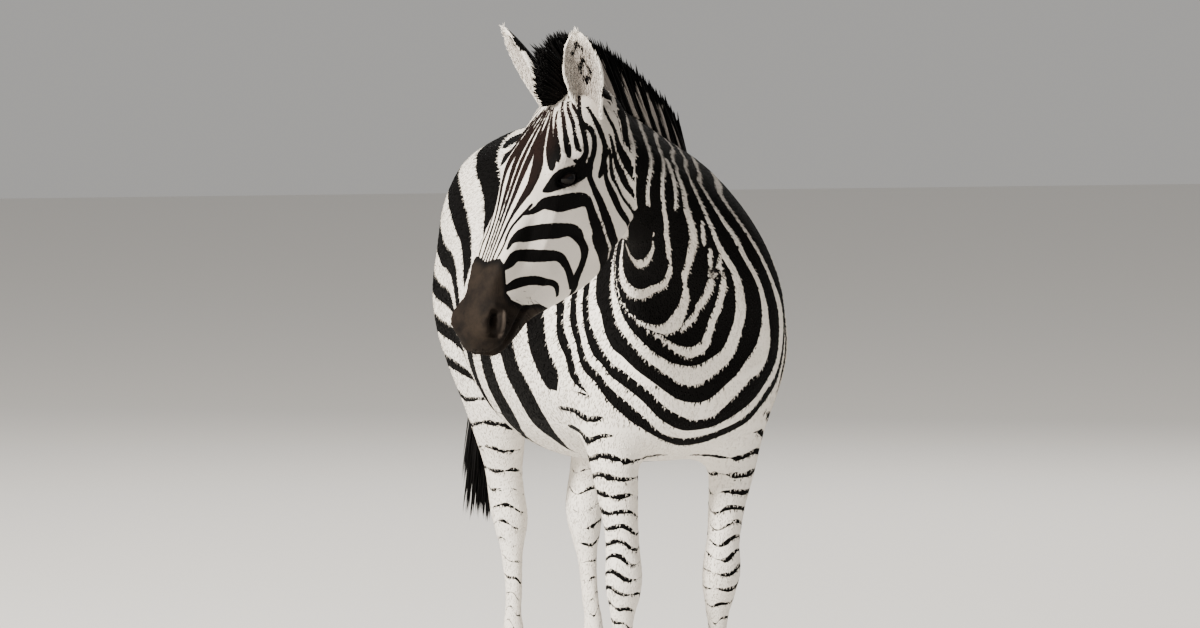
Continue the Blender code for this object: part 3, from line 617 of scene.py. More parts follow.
# nostril: a comma-shaped hole with a thick rim; mouth: a line between full lips
NOSTRIL_HOLE = [(0.512, -0.043, 0.060), (0.524, -0.044, 0.062), (0.540, -0.050, 0.059),
                (0.556, -0.060, 0.052), (0.565, -0.070, 0.045)]
NOSTRIL_RIM = [(0.497, -0.044, 0.060), (0.510, -0.029, 0.054), (0.540, -0.028, 0.050), (0.566, -0.040, 0.044)]
NOSTRIL_WING = [(0.500, -0.060, 0.062), (0.520, -0.066, 0.063), (0.540, -0.075, 0.060),
                (0.556, -0.082, 0.052)]
MOUTH = [(0.455, -0.122, 0.054), (0.480, -0.108, 0.056), (0.515, -0.106, 0.056), (0.550, -0.104, 0.053),
         (0.580, -0.098, 0.042), (0.598, -0.094, 0.022), (0.602, -0.092, 0.0)]
# path (ahead, up, left), width, height and, where it isn't the usual one, the share that tapers at each end
FACE_STROKES = [
    ([(0.120, -0.030, 0.078), (0.150, -0.022, 0.080)], 0.016, -0.007),  # hollow over the eye
    ([(0.150, -0.016, 0.078), (0.185, -0.008, 0.076), (0.222, -0.014, 0.066)], 0.010, 0.0045),  # brow
    ([(0.235, -0.050, 0.072), (0.300, -0.075, 0.070), (0.385, -0.088, 0.060)], 0.010, 0.004),  # cheek ridge
    ([(0.240, -0.110, 0.076), (0.310, -0.130, 0.068), (0.380, -0.140, 0.060)], 0.020, -0.004),  # cheek hollow
    ([(0.260, -0.030, 0.058), (0.340, -0.045, 0.054), (0.430, -0.050, 0.052)], 0.014, -0.004),  # by the nose
    ([(0.225, -0.020, 0.064), (0.255, -0.052, 0.071)], 0.006, -0.003),  # tear trough
    ([(0.330, -0.115, 0.062), (0.395, -0.128, 0.055), (0.450, -0.118, 0.054)], 0.007, 0.003),  # lip muscle
    ([(0.245, -0.215, 0.068), (0.270, -0.160, 0.074), (0.285, -0.110, 0.076)], 0.008, -0.003),  # cheek
    ([(0.130, -0.120, 0.089), (0.120, -0.180, 0.085), (0.150, -0.240, 0.076)], 0.010, -0.003),  # jaw joint
    (NOSTRIL_RIM, 0.009, 0.005, 0.2),
    (NOSTRIL_WING, 0.008, 0.006, 0.2),
    (NOSTRIL_HOLE, 0.0078, -0.024, 0.12),
    ([(a, u + 0.012, l) for a, u, l in MOUTH], 0.009, 0.003, 0.2),  # upper lip
    ([(a - 0.004, u - 0.012, l) for a, u, l in MOUTH], 0.008, 0.0025, 0.2),  # lower lip
    (MOUTH, 0.0040, -0.0075, 0.1),
]
for face_stroke in FACE_STROKES:
    stroke(skin.data, *face_stroke)

# ---------------------------------------------------------------- lids round the eyes
# The lids lie on the eyeball round an almond opening, which runs from its front corner, high and near the
# nose, to its rear corner. Each has a rim, and a crease where it folds.
LID_THICK = 0.0022
OPENING_HALF, OPENING_UP, OPENING_DOWN = 0.0215, 0.0135, 0.0100
EYE_OUT = HEAD_LEFT * 1.0 + HEAD_UP * 0.30 + HEAD_AHEAD * 0.12
EYE_LONG = HEAD_AHEAD * 0.70 + HEAD_UP * 0.62 - HEAD_LEFT * 0.24


def mirrored(direction, side):
    """A direction on the left of the head, or the mirrored one on the right."""
    left = direction.dot(HEAD_LEFT)
    return direction - HEAD_LEFT * left + HEAD_LEFT * (left * side)


def eye_frame(side):
    out = mirrored(EYE_OUT, side).normalized()
    long_way = mirrored(EYE_LONG, side)
    long_way = (long_way - out * long_way.dot(out)).normalized()
    across = out.cross(long_way) * side
    return np.array(out), np.array(long_way), np.array(across)


def open_share(x, y):
    """How far inside the almond opening a point is: above 0 inside, below 0 outside, in metres."""
    reach = np.clip(np.abs(x) / OPENING_HALF, 0, 1)
    upper = OPENING_UP * (1 - reach**2.2)
    lower = -OPENING_DOWN * (1 - reach**1.8)
    return np.minimum(np.minimum(upper - y, y - lower), OPENING_HALF - np.abs(x))


def ridge(depth, middle, width, height):
    """A rounded ridge along the lid's edge, its middle at a depth outside the opening."""
    return height * np.exp(-(((-depth - middle) / width) ** 2))


points = vertex_array(skin.data)
for side in (1, -1):
    out, long_way, across = eye_frame(side)
    away = points - np.array(eye_place(side))
    x, y, z = away @ long_way, away @ across, away @ out
    around = np.hypot(x, y)
    near = (around < 0.045) & (z > -0.012)
    depth = open_share(x, y)
    ball = np.sqrt(np.maximum((EYE_RADIUS + LID_THICK) ** 2 - around**2, 0.0001))
    hug = ease(-depth, 0.018, 0.002) * ease(around, 0.034, 0.024)
    crease = ridge(depth, 0.0065, 0.0016, 0.0016) * (y > 0) + ridge(depth, 0.0060, 0.0016, 0.0010) * (y <= 0)
    new_z = z * (1 - hug) + ball * hug - crease + ridge(depth, 0.0012, 0.0014, 0.0010)
    new_z = np.where(depth > 0, ball - 0.016 * ease(depth, -0.0002, 0.0020), new_z)
    points = points + np.where(near, new_z - z, 0.0)[:, None] * out
set_vertices(skin.data, points)

# the skin lies inside the coat by the coat's depth, less on the face and the lower legs
points, normals = vertex_array(skin.data), vertex_array(skin.data, "normal")
thin = np.maximum(face_share(points), ease(-points[:, 2], -0.5, -0.3))
set_vertices(skin.data, points - normals * (COAT_DEPTH * (1 - 0.6 * thin))[:, None])

# the hooves take over at the coronet
bm = bmesh.new()
bm.from_mesh(skin.data)
bmesh.ops.bisect_plane(
    bm, geom=bm.verts[:] + bm.edges[:] + bm.faces[:], plane_co=(0, 0, CORONET_Z - 0.002), plane_no=(0, 0, 1),
    clear_inner=True,
)
bmesh.ops.holes_fill(bm, edges=[e for e in bm.edges if e.is_boundary], sides=0)
bm.to_mesh(skin.data)
bm.free()

# ---------------------------------------------------------------- the stripes
# Each stripe is placed as on the animal: rings round the neck that sweep into deep curves over the chest,
# upright bands on the barrel, bands fanning back over the haunch, thin broken rings on the legs, and a fan
# of fine lines on the face. Planes across the body give each point a place along it, a height share and a
# distance left of its middle.
# top (x, y, z), bottom (x, y, z) and half width of each plane, from the poll down the neck, and then (all but
# x, which is 0) along the back to the thigh
SPINE = [row[:7] for row in reversed(NECK[1:])] + [(0.0, *row[:2], 0.0, *row[2:]) for row in scaled([
    (-290, 1270, -560, 720, 240), (-180, 1270, -400, 650, 280), (-60, 1265, -200, 612, 305),
    (60, 1270, 0, 606, 312), (190, 1290, 140, 620, 300), (320, 1325, 225, 680, 280),
    (460, 1335, 255, 730, 250), (590, 1280, 255, 720, 240), (680, 1170, 245, 690, 200),
    (710, 1040, 235, 655, 150), (690, 900, 240, 620, 100),
], 1000)]
LAST_PLACE = len(SPINE) - 1
LAST_PLANE = 10 * LAST_PLACE
planes = np.array(sampled(SPINE, LAST_PLANE + 1))
tops, bottoms, plane_width = planes[:, :3], planes[:, 3:6], planes[:, 6]
middles = (tops + bottoms) / 2
plane_height = np.linalg.norm(tops - bottoms, axis=1)
plane_up = (tops - bottoms) / plane_height[:, None]
onward = np.gradient(middles, axis=0)
plane_left = np.cross(plane_up, -onward)
plane_left /= np.linalg.norm(plane_left, axis=1)[:, None]
plane_on = np.cross(plane_left, plane_up)
plane_on *= np.sign((plane_on * onward).sum(1))[:, None]

CHUNK = 20000  # points worked on at a time, to spare memory


def body_place(points):
    """Place along the body (0 to 16), height share and distance left of the middle, for points."""
    along, height, left = (np.zeros(len(points)) for _ in range(3))
    for begin in range(0, len(points), CHUNK):
        here = slice(begin, begin + CHUNK)
        part = points[here]
        past = part @ plane_on.T - (middles * plane_on).sum(1)
        rise = (part @ plane_up.T - (bottoms * plane_up).sum(1)) / plane_height
        far = np.linalg.norm(part[:, None, :] - middles[None], axis=2)
        crossing = (past[:, :-1] >= 0) & (past[:, 1:] < 0)
        cost = np.where(crossing, far[:, :-1], 1e9)
        j, n = cost.argmin(1), np.arange(len(part))
        found = cost.min(1) < 1e8
        f = past[n, j] / (past[n, j] - past[n, j + 1] + 1e-12)
        before = past[:, 0] < 0
        j = np.where(found, j, np.where(before, 0, LAST_PLANE - 1))
        f = np.where(found, f, np.where(before, 0.0, 1.0))
        along[here] = np.where(found, (j + f) / 10, np.where(before, 0, LAST_PLACE))
        height[here] = rise[n, j] * (1 - f) + rise[n, j + 1] * f
        left[here] = ((part - middles[j]) * plane_left[j]).sum(1)
    return along, height, left


def girth_place(along, height, left):
    """Distance round the body from the middle of the throat and belly, left above 0 and right below it."""
    plane = np.asarray(along) * 10
    tall, wide = (np.interp(plane, np.arange(LAST_PLANE + 1), sizes) for sizes in (plane_height, plane_width))
    high = ease(height, 0.12, 0.40)
    out = np.minimum(np.abs(left), wide * 1.2) * (1 - high) + wide * high
    return np.sign(left + 1e-9) * (np.clip(height, 0, 1.05) * tall + out)


def smooth_sheet(places, values):
    """A function through values at places in a plane, bent as little as possible between them."""
    places, values = np.array(places, float), np.array(values, float)
    count = len(places)

    def kernel(squares):
        return squares * np.log(squares + 1e-9) * 0.5

    squares = ((places[:, None] - places[None]) ** 2).sum(2)
    flat = np.hstack([np.ones((count, 1)), places])
    system = np.zeros((count + 3, count + 3))
    system[:count, :count] = kernel(squares) + np.eye(count) * 0.002
    system[:count, count:] = flat
    system[count:, :count] = flat.T
    weights = np.linalg.solve(system, np.concatenate([values, np.zeros(3)]))

    def at(spots):
        out = np.empty(len(spots))
        for begin in range(0, len(spots), CHUNK):
            part = spots[begin:begin + CHUNK]
            squares = ((part[:, None] - places[None]) ** 2).sum(2)
            sheet = kernel(squares) @ weights[:count] + weights[count] + part @ weights[count + 1:]
            out[begin:begin + CHUNK] = sheet
        return out

    return at


# stripe number (whole for the middle of a black one, a half for a white one): places along the body,
# height share and distance left of the middle, all in hundredths
BOTH_SIDES = [
    (-3, [(15, 100, 2), (-25, 60, 6), (-60, 25, 6)]),
    (-2, [(80, 100, 2), (35, 60, 7), (0, 25, 6)]),
    (-1, [(140, 100, 2), (92, 60, 7), (42, 25, 7)]),
    (0, [(198, 100, 2), (145, 60, 7)]),
    (0.5, [(230, 100, 2)]),
    (1.5, [(270, 100, 2)]),
    (2.5, [(308, 100, 2)]),
    (3.5, [(346, 100, 2)]),
    (4.5, [(390, 100, 2)]),
    (5, [(420, 100, 2)]),
    (6, [(500, 100, 2)]),
    (7, [(580, 100, 2)]),
    (8, [(662, 100, 2), (666, 75, 20), (672, 50, 25), (674, 36, 26), (669, 28, 25), (676, 20, 22),
         (698, 12, 18), (722, 7, 14)]),
    (9, [(748, 100, 2), (752, 75, 22), (760, 50, 28), (763, 31, 28), (759, 26, 27), (769, 20, 25),
         (782, 14, 22), (795, 9, 18), (818, 5, 14)]),
    (10, [(832, 100, 2), (835, 75, 22), (842, 50, 29), (846, 33, 29), (855, 27, 28), (861, 20, 25),
          (901, 11, 20), (906, 4, 12)]),
    (11, [(910, 100, 2), (913, 75, 22), (920, 50, 29), (935, 33, 29), (960, 18, 25), (995, 6, 14)]),
    (12, [(985, 100, 2), (985, 80, 18), (990, 60, 26), (1005, 42, 28), (1030, 25, 27), (1060, 10, 20)]),
    (13, [(1055, 100, 2), (1050, 85, 15), (1080, 40, 25)]),
    (14, [(1125, 100, 2)]),
    (16, [(1260, 100, 2)]),
]
LEFT_SIDE = [
    (0.5, [(213, 84, 5), (170, 58, 7), (150, 40, 8), (136, 27, 8), (162, 4, 3), (200, 0, 0), (234, 1, -2),
           (262, 3, -5), (296, 11, -9), (295, 30, -10), (270, 60, -9)]),
    (1.5, [(229, 74, 6), (195, 50, 7), (171, 30, 8), (172, 13, 7), (212, 3, 4), (249, 1, 2), (286, 0, -1),
           (314, 1, -4), (330, 5, -8), (347, 15, -12), (345, 35, -12), (310, 65, -10)]),
    (2.5, [(262, 69, 8), (220, 39, 8), (226, 30, 8), (234, 21, 8), (251, 14, 8), (268, 8, 7), (282, 3, 5),
           (308, 0, 2), (341, 0, -1), (376, 1, -4), (400, 0, -7), (406, 2, -10), (404, 4, -13),
           (400, 30, -16), (360, 65, -14)]),
    (3.5, [(295, 75, 9), (262, 51, 10), (263, 38, 10), (277, 27, 10), (301, 17, 10), (331, 12, 10),
           (358, 8, 11), (385, 5, 10), (410, 3, 9), (436, 2, 7), (461, 0, 5), (478, 0, 0), (480, 0, -6),
           (470, 0, -12), (465, 12, -16), (455, 35, -17), (410, 65, -16)]),
    (4, [(402, 8, 12), (440, 5, 11), (463, 2, 9), (483, 0, 6), (498, 0, 2), (512, 0, -5), (495, 0, -10),
         (490, 12, -17), (489, 35, -19)]),
    (4.5, [(320, 70, 12), (288, 51, 13), (297, 39, 12), (320, 30, 12), (345, 23, 13), (366, 17, 13),
           (389, 13, 14), (414, 11, 14), (439, 9, 14), (467, 7, 13), (485, 5, 12), (493, 0, 10),
           (515, 0, 5), (540, 0, -4), (520, 0, -11), (517, 10, -17), (522, 30, -20), (500, 60, -19)]),
    (5, [(530, 62, -20), (557, 43, -22), (564, 32, -21), (562, 24, -20), (554, 15, -18), (544, 7, -16),
         (544, 1, -12), (562, 0, -8), (578, 0, -2), (570, 0, 3), (543, 0, 8), (537, 2, 13), (526, 8, 16),
         (500, 12, 17), (445, 15, 16), (405, 18, 15), (360, 27, 15), (325, 42, 14)]),
    (5.5, [(375, 75, 15), (340, 55, 16), (362, 36, 15), (394, 25, 16), (430, 21, 17), (463, 20, 18),
           (507, 16, 19), (533, 14, 19), (550, 7, 16), (575, 0, 10), (595, 0, 0), (572, 0, -13),
           (570, 15, -19), (574, 40, -22)]),
    (6, [(450, 75, 18), (425, 55, 18), (450, 38, 19), (495, 29, 21), (540, 22, 21), (575, 12, 19),
         (605, 0, 5), (595, 2, -10), (585, 15, -21), (588, 30, -23), (583, 45, -23)]),
    (7, [(550, 75, 21), (542, 58, 22), (555, 44, 23), (580, 34, 24), (605, 22, 23), (625, 8, 18),
         (630, 5, -15), (615, 15, -21), (612, 30, -23), (608, 45, -24), (590, 70, -22)]),
]
# thin white lines that split the wide black of the neck: place along, height share and left in hundredths,
# width in mm
SPLITS = [
    [(206, 49, 8, 6), (202, 38, 8, 9), (204, 26, 8, 8), (206, 13, 7, 4)],
    [(270, 20, 9, 4), (286, 11, 8, 9), (309, 8, 8, 9), (328, 4, 7, 9), (351, 1, 5, 10), (370, 0, 2, 10),
     (391, 0, -2, 8), (410, 0, -5, 4)],
    [(315, 13, 10, 4), (333, 7, 9, 9), (356, 4, 8, 10), (374, 2, 6, 10), (401, 1, 3, 11), (441, 0, 0, 12),
     (450, 0, -3, 12), (443, 0, -6, 10), (425, 0, -10, 9), (425, 5, -13, 7), (420, 20, -14, 4)],
    [(485, 95, 5, 4), (450, 75, 17, 10), (425, 55, 18, 14), (450, 38, 19, 12), (495, 29, 21, 6)],
    [(185, 92, -5, 8), (205, 60, -9, 18), (220, 30, -10, 20), (230, 12, -8, 10)],
]
SPLIT_MORE = 0.004  # metres by which the hair narrows these lines
SHARE_OF_GIRTH = 9.0  # a metre round the body counts as this many places along it
PLACE_LENGTH = 0.11  # metres along the body from one place to the next
skin_points = vertex_array(skin.data)
along, height, left = body_place(skin_points)
girth = girth_place(along, height, left)
rows, values = [], []
for table, sides in ((BOTH_SIDES, (1, -1)), (LEFT_SIDE, (1,))):
    for number, places in table:
        for a, h, l in scaled(places, 100):
            rows.extend((a, float(girth_place(a, h, l * side)) * SHARE_OF_GIRTH) for side in sides)
            values.extend(number for side in sides)
band_sheet = smooth_sheet(rows, values)
band_number = band_sheet(np.stack([along, girth * SHARE_OF_GIRTH], axis=1))

split = np.full(len(skin_points), -1.0)
body_spots = np.stack([along * PLACE_LENGTH, girth, 0 * girth], axis=1)
for places in SPLITS:
    rows = scaled(places, 100, 100, 100, 1000)
    path = [(a * PLACE_LENGTH, float(girth_place(a, h, l)), 0.0) for a, h, l, _ in rows]
    far, share = path_distance(body_spots, path)
    width = np.interp(share, np.linspace(0, 1, len(rows)), [row[3] + SPLIT_MORE for row in rows])
    split = np.maximum(split, np.where(along < 5.5, width / 2 - far, -1.0))

# the haunch: place behind the middle and height, in mm, along each black band, from the one under the croup
# down to the gaskin
HAUNCH = [
    (0, [(0, 1050), (60, 1095), (140, 1150), (207, 1191), (282, 1229), (349, 1267), (450, 1300)]),
    (1, [(60, 950), (120, 1020), (213, 1083), (300, 1121), (383, 1167), (480, 1210), (600, 1245)]),
    (2, [(100, 870), (190, 960), (276, 1022), (394, 1035), (520, 1075), (690, 1130)]),
    (3, [(150, 800), (220, 880), (323, 940), (420, 955), (550, 985), (700, 1020)]),
    (4, [(200, 730), (270, 800), (371, 865), (450, 880), (580, 900), (700, 920)]),
    (5, [(250, 680), (300, 730), (390, 790), (460, 800), (580, 820)]),
    (6, [(300, 660), (380, 720), (460, 730), (580, 740)]),
]
# heights in mm of the rings on the legs
HIND_RINGS = [
    860, 795, 730, 668, 612, 562, 518, 478, 440, 400, 360, 320, 284, 250, 218, 188, 160, 134, 108, 80, 50
]
FORE_RINGS = [
    845, 795, 748, 702, 660, 620, 582, 546, 512, 480, 448, 414, 380, 346, 312, 280, 250, 220, 190, 160, 132,
    106, 80, 50
]
rows, values = [], []
for number, places in HAUNCH:
    rows.extend(scaled(places, 1000))
    values.extend(number for place in places)
x, y, z = skin_points.T
haunch_number = smooth_sheet(rows, values)(np.stack([y, z], axis=1))
hind = y > 0.0
leg_x, leg_y = np.zeros(len(x)), np.zeros(len(x))
for end, _, table, side, step, outward in LEGS:
    here = (hind == (end == "hind")) & (np.sign(x + 1e-9) == side)
    heights, outs, aheads = ([row[k] for row in reversed(table)] for k in range(3))
    share = ease(HIP_Z - z, 0.0, HIP_Z - 0.10)
    leg_x = np.where(here, x - side * (np.interp(z, heights, outs) + outward * share), leg_x)
    leg_y = np.where(here, y + np.interp(z, heights, aheads) + step * share, leg_y)
outside = leg_x * np.sign(x)  # above 0 on the outer side of each leg
turn = np.arctan2(outside, -leg_y)  # 0 at the front of the leg, a quarter turn on its outer side
dip = 0.009 * np.cos(turn) + 0.006 * np.cos(2 * turn + 4 * z) + 0.005 * np.cos(3 * turn + 30 * z)
ring_hind, ring_fore = (np.interp(-(z + dip), -np.array(rings) / 1000, np.arange(len(rings)) + first)
                        for rings, first in ((HIND_RINGS, 4.0), (FORE_RINGS, 0.0)))
high = ease(z, 0.70, 0.80)
ring_number = np.where(hind, haunch_number * high + ring_hind * (1 - high), ring_fore)

# how much of each stripe's share is black (none where it is below 0), and the depths of no mark and of a mark
NO_BLACK, NO_MARK, ALL_BLACK = -0.4, -0.02, 0.02
neck_part = ease(along, 5.2, 4.2)
low_part = ease(np.abs(girth), 0.42, 0.22) * neck_part
band_black = 0.53 + 0.23 * neck_part - 0.06 * low_part * ease(along, 3.6, 4.8)
belly = ease(height, 0.035, 0.16)
barrel = ease(along, 6.1, 6.6)
band_black = band_black * (1 - barrel * (1 - belly))
near_leg = ease(np.hypot(leg_x, leg_y), 0.150, 0.105) * ease(z, 0.86, 0.80)
fore_in = np.where(hind, 0.0, near_leg * ease(z - 0.10 * ease(outside, 0.0, 0.06), 0.74, 0.66))
arm = 1 - fore_in
haunch_front = np.interp(z, [0.60, 0.75, 0.95, 1.10, 1.20, 1.40], [0.27, 0.19, 0.125, 0.09, 0.12, 0.20])
under_croup = ease(haunch_number, -0.20, -0.12)
behind = ease(y - haunch_front, -0.016, -0.002) * under_croup
past = ease(y - haunch_front, 0.004, 0.018) * under_croup
band_black = band_black * arm * (1 - past) + NO_BLACK * past - 0.3 * (1 - arm)
haunch_black = (0.52 - 0.20 * ease(0.95 - z, 0.0, 0.25)) * behind + NO_BLACK * (1 - behind)
leg_fade = ease(z, 0.10, 0.60)
ring_black_hind = haunch_black * high + (0.07 + 0.13 * leg_fade) * (1 - high)
ring_black_fore = (0.20 + 0.14 * leg_fade) * fore_in + NO_BLACK * (1 - fore_in)
ring_black = np.where(hind, ring_black_hind, ring_black_fore)
inner = ease(-outside, 0.0, 0.03) * (z < 0.85)
ring_black = ring_black - 0.16 * inner - 0.10 * ease(-np.cos(turn), 0.2, 0.9) * (z < 0.80)

# the head's lines: places as (mm ahead, degrees round from the brow, width in mm); the first five fan over
# the forehead, the next five run over the temple, and those from JAW_FIRST to JAW_LAST cross the jaw
FACE_MIDDLE_UP = -0.115
FACE_LINES = [
    [(50, 0, 3), (100, 0, 5), (200, 0, 6), (320, 0, 5), (430, 0, 5)],
    [(55, 2, 3), (100, 4, 5), (140, 6.5, 6.5), (187, 8, 8), (257, 7, 7), (314, 5.5, 5), (370, 5, 5),
     (430, 5, 5)],
    [(60, 4, 3), (88, 8, 5), (136, 12.5, 9), (171, 17, 11), (200, 21, 12), (240, 22, 10), (275, 18, 8),
     (311, 14, 6), (342, 12, 6), (430, 10, 6)],
    [(55, 6, 3), (74, 9, 4), (121, 19, 7), (154, 26, 9), (174, 32, 9), (192, 36, 5)],
    [(60, 12, 3), (84, 16, 4), (129, 27, 7), (153, 34, 6), (172, 39, 3)],
    [(22, 10, 3), (50, 15, 4), (69, 21, 5), (111, 33, 8), (135, 41, 9), (150, 45, 5)],
    [(12, 14, 3), (40, 19, 4), (59, 26, 5), (75, 33, 6), (100, 41, 6), (118, 48, 8), (123, 53, 5)],
    [(6, 18, 4), (36, 24, 5), (52, 34, 6), (73, 43, 8), (98, 53, 8), (119, 60, 8), (140, 60, 10),
     (150, 53, 6)],
    [(-2, 22, 5), (29, 29, 6), (63, 40, 7), (68, 52, 8), (82, 62, 8), (104, 69, 9), (137, 74, 9),
     (160, 82, 9)],
    [(26, 38, 5), (40, 49, 6), (51, 58, 8), (67, 72, 9), (80, 82, 10), (108, 92, 11), (139, 97, 9)],
    [(426, 16, 4), (384, 20, 5), (345, 19, 6), (300, 26, 5), (275, 31, 4)],
    [(300, 28, 4), (282, 37, 10), (261, 44, 17), (245, 61, 25), (222, 78, 25), (206, 93, 22),
     (207, 105, 19), (231, 128, 20), (255, 146, 22), (266, 167, 24), (286, 178, 20)],
    [(128, 69, 9), (151, 76, 11), (164, 88, 13), (184, 115, 16), (207, 134, 18), (228, 151, 17),
     (240, 178, 14)],
    [(100, 84, 8), (107, 92, 11), (133, 110, 14), (154, 128, 16), (171, 142, 14), (175, 158, 13),
     (180, 178, 12)],
    [(75, 84, 5), (85, 97, 8), (108, 110, 9), (128, 128, 9), (145, 145, 8), (150, 178, 6)],
    [(50, 80, 6), (68, 97, 9), (88, 110, 10), (106, 128, 11), (120, 145, 9), (126, 178, 8)],
    [(-24, 44, 8), (-18, 60, 10), (-8, 76, 12), (6, 92, 13), (24, 106, 13), (44, 120, 14), (62, 136, 14)],
    [(2, 50, 6), (20, 66, 7), (32, 84, 9), (46, 98, 13), (64, 112, 16), (84, 130, 17), (96, 150, 14)],
    [(384, 27, 6), (365, 28, 10), (346, 34, 18), (324, 49, 24), (291, 86, 26), (272, 111, 24),
     (278, 132, 17), (293, 145, 15), (318, 152, 15), (343, 157, 17), (368, 170, 14)],
    [(426, 34, 7), (409, 37, 16), (383, 44, 18), (361, 77, 20), (334, 117, 20), (337, 135, 15),
     (349, 150, 15), (362, 160, 10)],
    [(468, 46, 9), (441, 60, 18), (416, 88, 18), (397, 121, 16), (385, 141, 12), (397, 155, 8)],
]
FAN_END, TEMPLE_END, JAW_FIRST, JAW_LAST = 5, 10, 12, 17
# how much wider than given the lines are: over places ahead, or for the cheek over degrees round, the times
FAN_BOLD = ((0.05, 0.09, 0.14, 0.24, 0.32, 0.40), (1.1, 1.5, 2.1, 2.1, 1.6, 1.35))
TEMPLE_BOLD = ((0.02, 0.06), (1.3, 1.6))
CHEEK_BOLD = ((75, 105), (1.42, 1.12))
JAW_BOLD = 1.15
EYE_PATCH = [
    (240, 37, 8), (226, 42, 22), (203, 49, 33), (180, 58, 37), (158, 67, 33), (140, 74, 20)
]
# where the dark muzzle begins: degrees round from the brow, mm ahead
DARK_MUZZLE = [
    (0, 423), (13, 414), (23, 410), (32, 421), (42, 445), (52, 467), (70, 475), (100, 470), (119, 458),
    (139, 440), (180, 420)
]


def bolder(k, ahead, turn, width):
    """A place on line k with its width made bolder."""
    if k < FAN_END:
        times = np.interp(ahead, *FAN_BOLD)
    elif k < TEMPLE_END:
        times = np.interp(ahead, *TEMPLE_BOLD)
    elif JAW_FIRST <= k <= JAW_LAST:
        times = JAW_BOLD
    else:
        times = np.interp(turn, *CHEEK_BOLD)
    return ahead, turn, width * times


def metric_turn(degrees):
    """Metres round the head from the brow for an angle round it."""
    radius = [(0, 0.128), (30, 0.122), (60, 0.098), (90, 0.088), (120, 0.098), (150, 0.135), (180, 0.170)]
    steps = np.arange(0, 181, 2.0)
    reach = np.cumsum(np.interp(steps, *zip(*radius)) * math.radians(2.0))
    return np.interp(degrees, steps, reach)


def line_depth(places, rows):
    """How far inside a line of varying width each place is, in metres (below 0 outside it)."""
    path = np.array(sampled(rows, 6 * (len(rows) - 1) + 1))
    spots = np.stack([path[:, 0] * HEAD_STRETCH, metric_turn(path[:, 1])], axis=1)
    best = np.full(len(places), -1.0)
    for k in range(len(spots) - 1):
        a, leg = spots[k], spots[k + 1] - spots[k]
        share = np.clip((places - a) @ leg / max(leg @ leg, 1e-12), 0, 1)
        far = np.linalg.norm(places - a - share[:, None] * leg, axis=1)
        width = (path[k, 2] * (1 - share) + path[k + 1, 2] * share) / 1000
        best = np.maximum(best, width / 2 - far)
    return best


head_ahead, head_up, head_left = head_parts(skin_points)
# how far ahead the head begins, by the depth below the brow line
THROAT_LATCH = [0.0, 0.08, 0.12, 0.17, 0.24, 0.30], [-0.035, -0.020, 0.006, 0.058, 0.120, 0.150]
throat_latch = np.interp(-head_up, *THROAT_LATCH)
on_head_share = ease(head_ahead - throat_latch, 0.0, 0.008) * (head_up > -0.335) * (head_ahead < 0.8)
on_head_share = on_head_share * ease(np.abs(head_left), 0.106, 0.098)
face_turn = np.degrees(np.arctan2(np.abs(head_left), head_up - (FACE_MIDDLE_UP + 0.05 * head_ahead)))
mark = np.full(len(skin_points), NO_MARK)
face = np.flatnonzero(on_head_share > 0)
places = np.stack([head_ahead[face] * HEAD_STRETCH, metric_turn(face_turn[face])], axis=1)
depth = np.full(len(face), NO_MARK)
for k, rows in enumerate(FACE_LINES):
    depth = np.maximum(depth, line_depth(places, [bolder(k, *row) for row in scaled(rows, 1000, 1)]))
depth = np.maximum(depth, line_depth(places, scaled(EYE_PATCH, 1000, 1)))
muzzle_edge = np.interp(face_turn[face], *zip(*scaled(DARK_MUZZLE, 1, 1000)))
muzzle_depth = (head_ahead[face] - muzzle_edge) * HEAD_STRETCH
mark[face] = np.maximum(depth, muzzle_depth)
dorsal = np.where((height > 0.85) & (y > -0.45) & (z > 1.1), 0.007 - np.abs(x), NO_MARK)
belly_line = np.where((height < 0.10) & (z < 0.75) & (y > -0.30) & (y < 0.26), 0.011 - np.abs(x), NO_MARK)
mark = np.where(on_head_share > 0.5, mark, np.maximum(dorsal, belly_line))
# the neck's black stripes behind the jaw's corner are widened into a solid black patch: painted shadow of the
# jaw on the neck
JAW_BLACK_AND_SHADOW_PATH = [(-0.176, -0.777, 1.172), (-0.176, -0.747, 1.136), (-0.170, -0.722, 1.106),
              (-0.172, -0.690, 1.090)]
mark = np.maximum(mark, 0.026 - path_distance(skin_points, JAW_BLACK_AND_SHADOW_PATH)[0])
on_dock = (y > 0.715) & (z < 1.19) & (z > 0.72) & (np.abs(x) < 0.10)
ring_number = np.where(on_dock, (1.25 - z) / 0.042, ring_number)
ring_black = np.where(on_dock, 0.42, ring_black)
band_black = np.where(on_dock, NO_BLACK, band_black)
band_black = band_black * (1 - on_head_share) + NO_BLACK * on_head_share
muzzle, brown = np.zeros(len(skin_points)), np.zeros(len(skin_points))
muzzle[face] = ease(muzzle_depth, -0.002, 0.02)
brown[face] = ease(34 - face_turn[face], 0, 14) * ease(head_ahead[face], 0.34, 0.20) * (1 - muzzle[face])
shadow = ease(along, 7.5, 11.5) * ease(height, 0.15, 0.35) * (1 - past)


def store(mesh, name, columns):
    attribute = mesh.attributes.new(name, "FLOAT_VECTOR", "POINT")
    attribute.data.foreach_set("vector", np.ascontiguousarray(np.stack(columns, axis=1), np.float32).ravel())


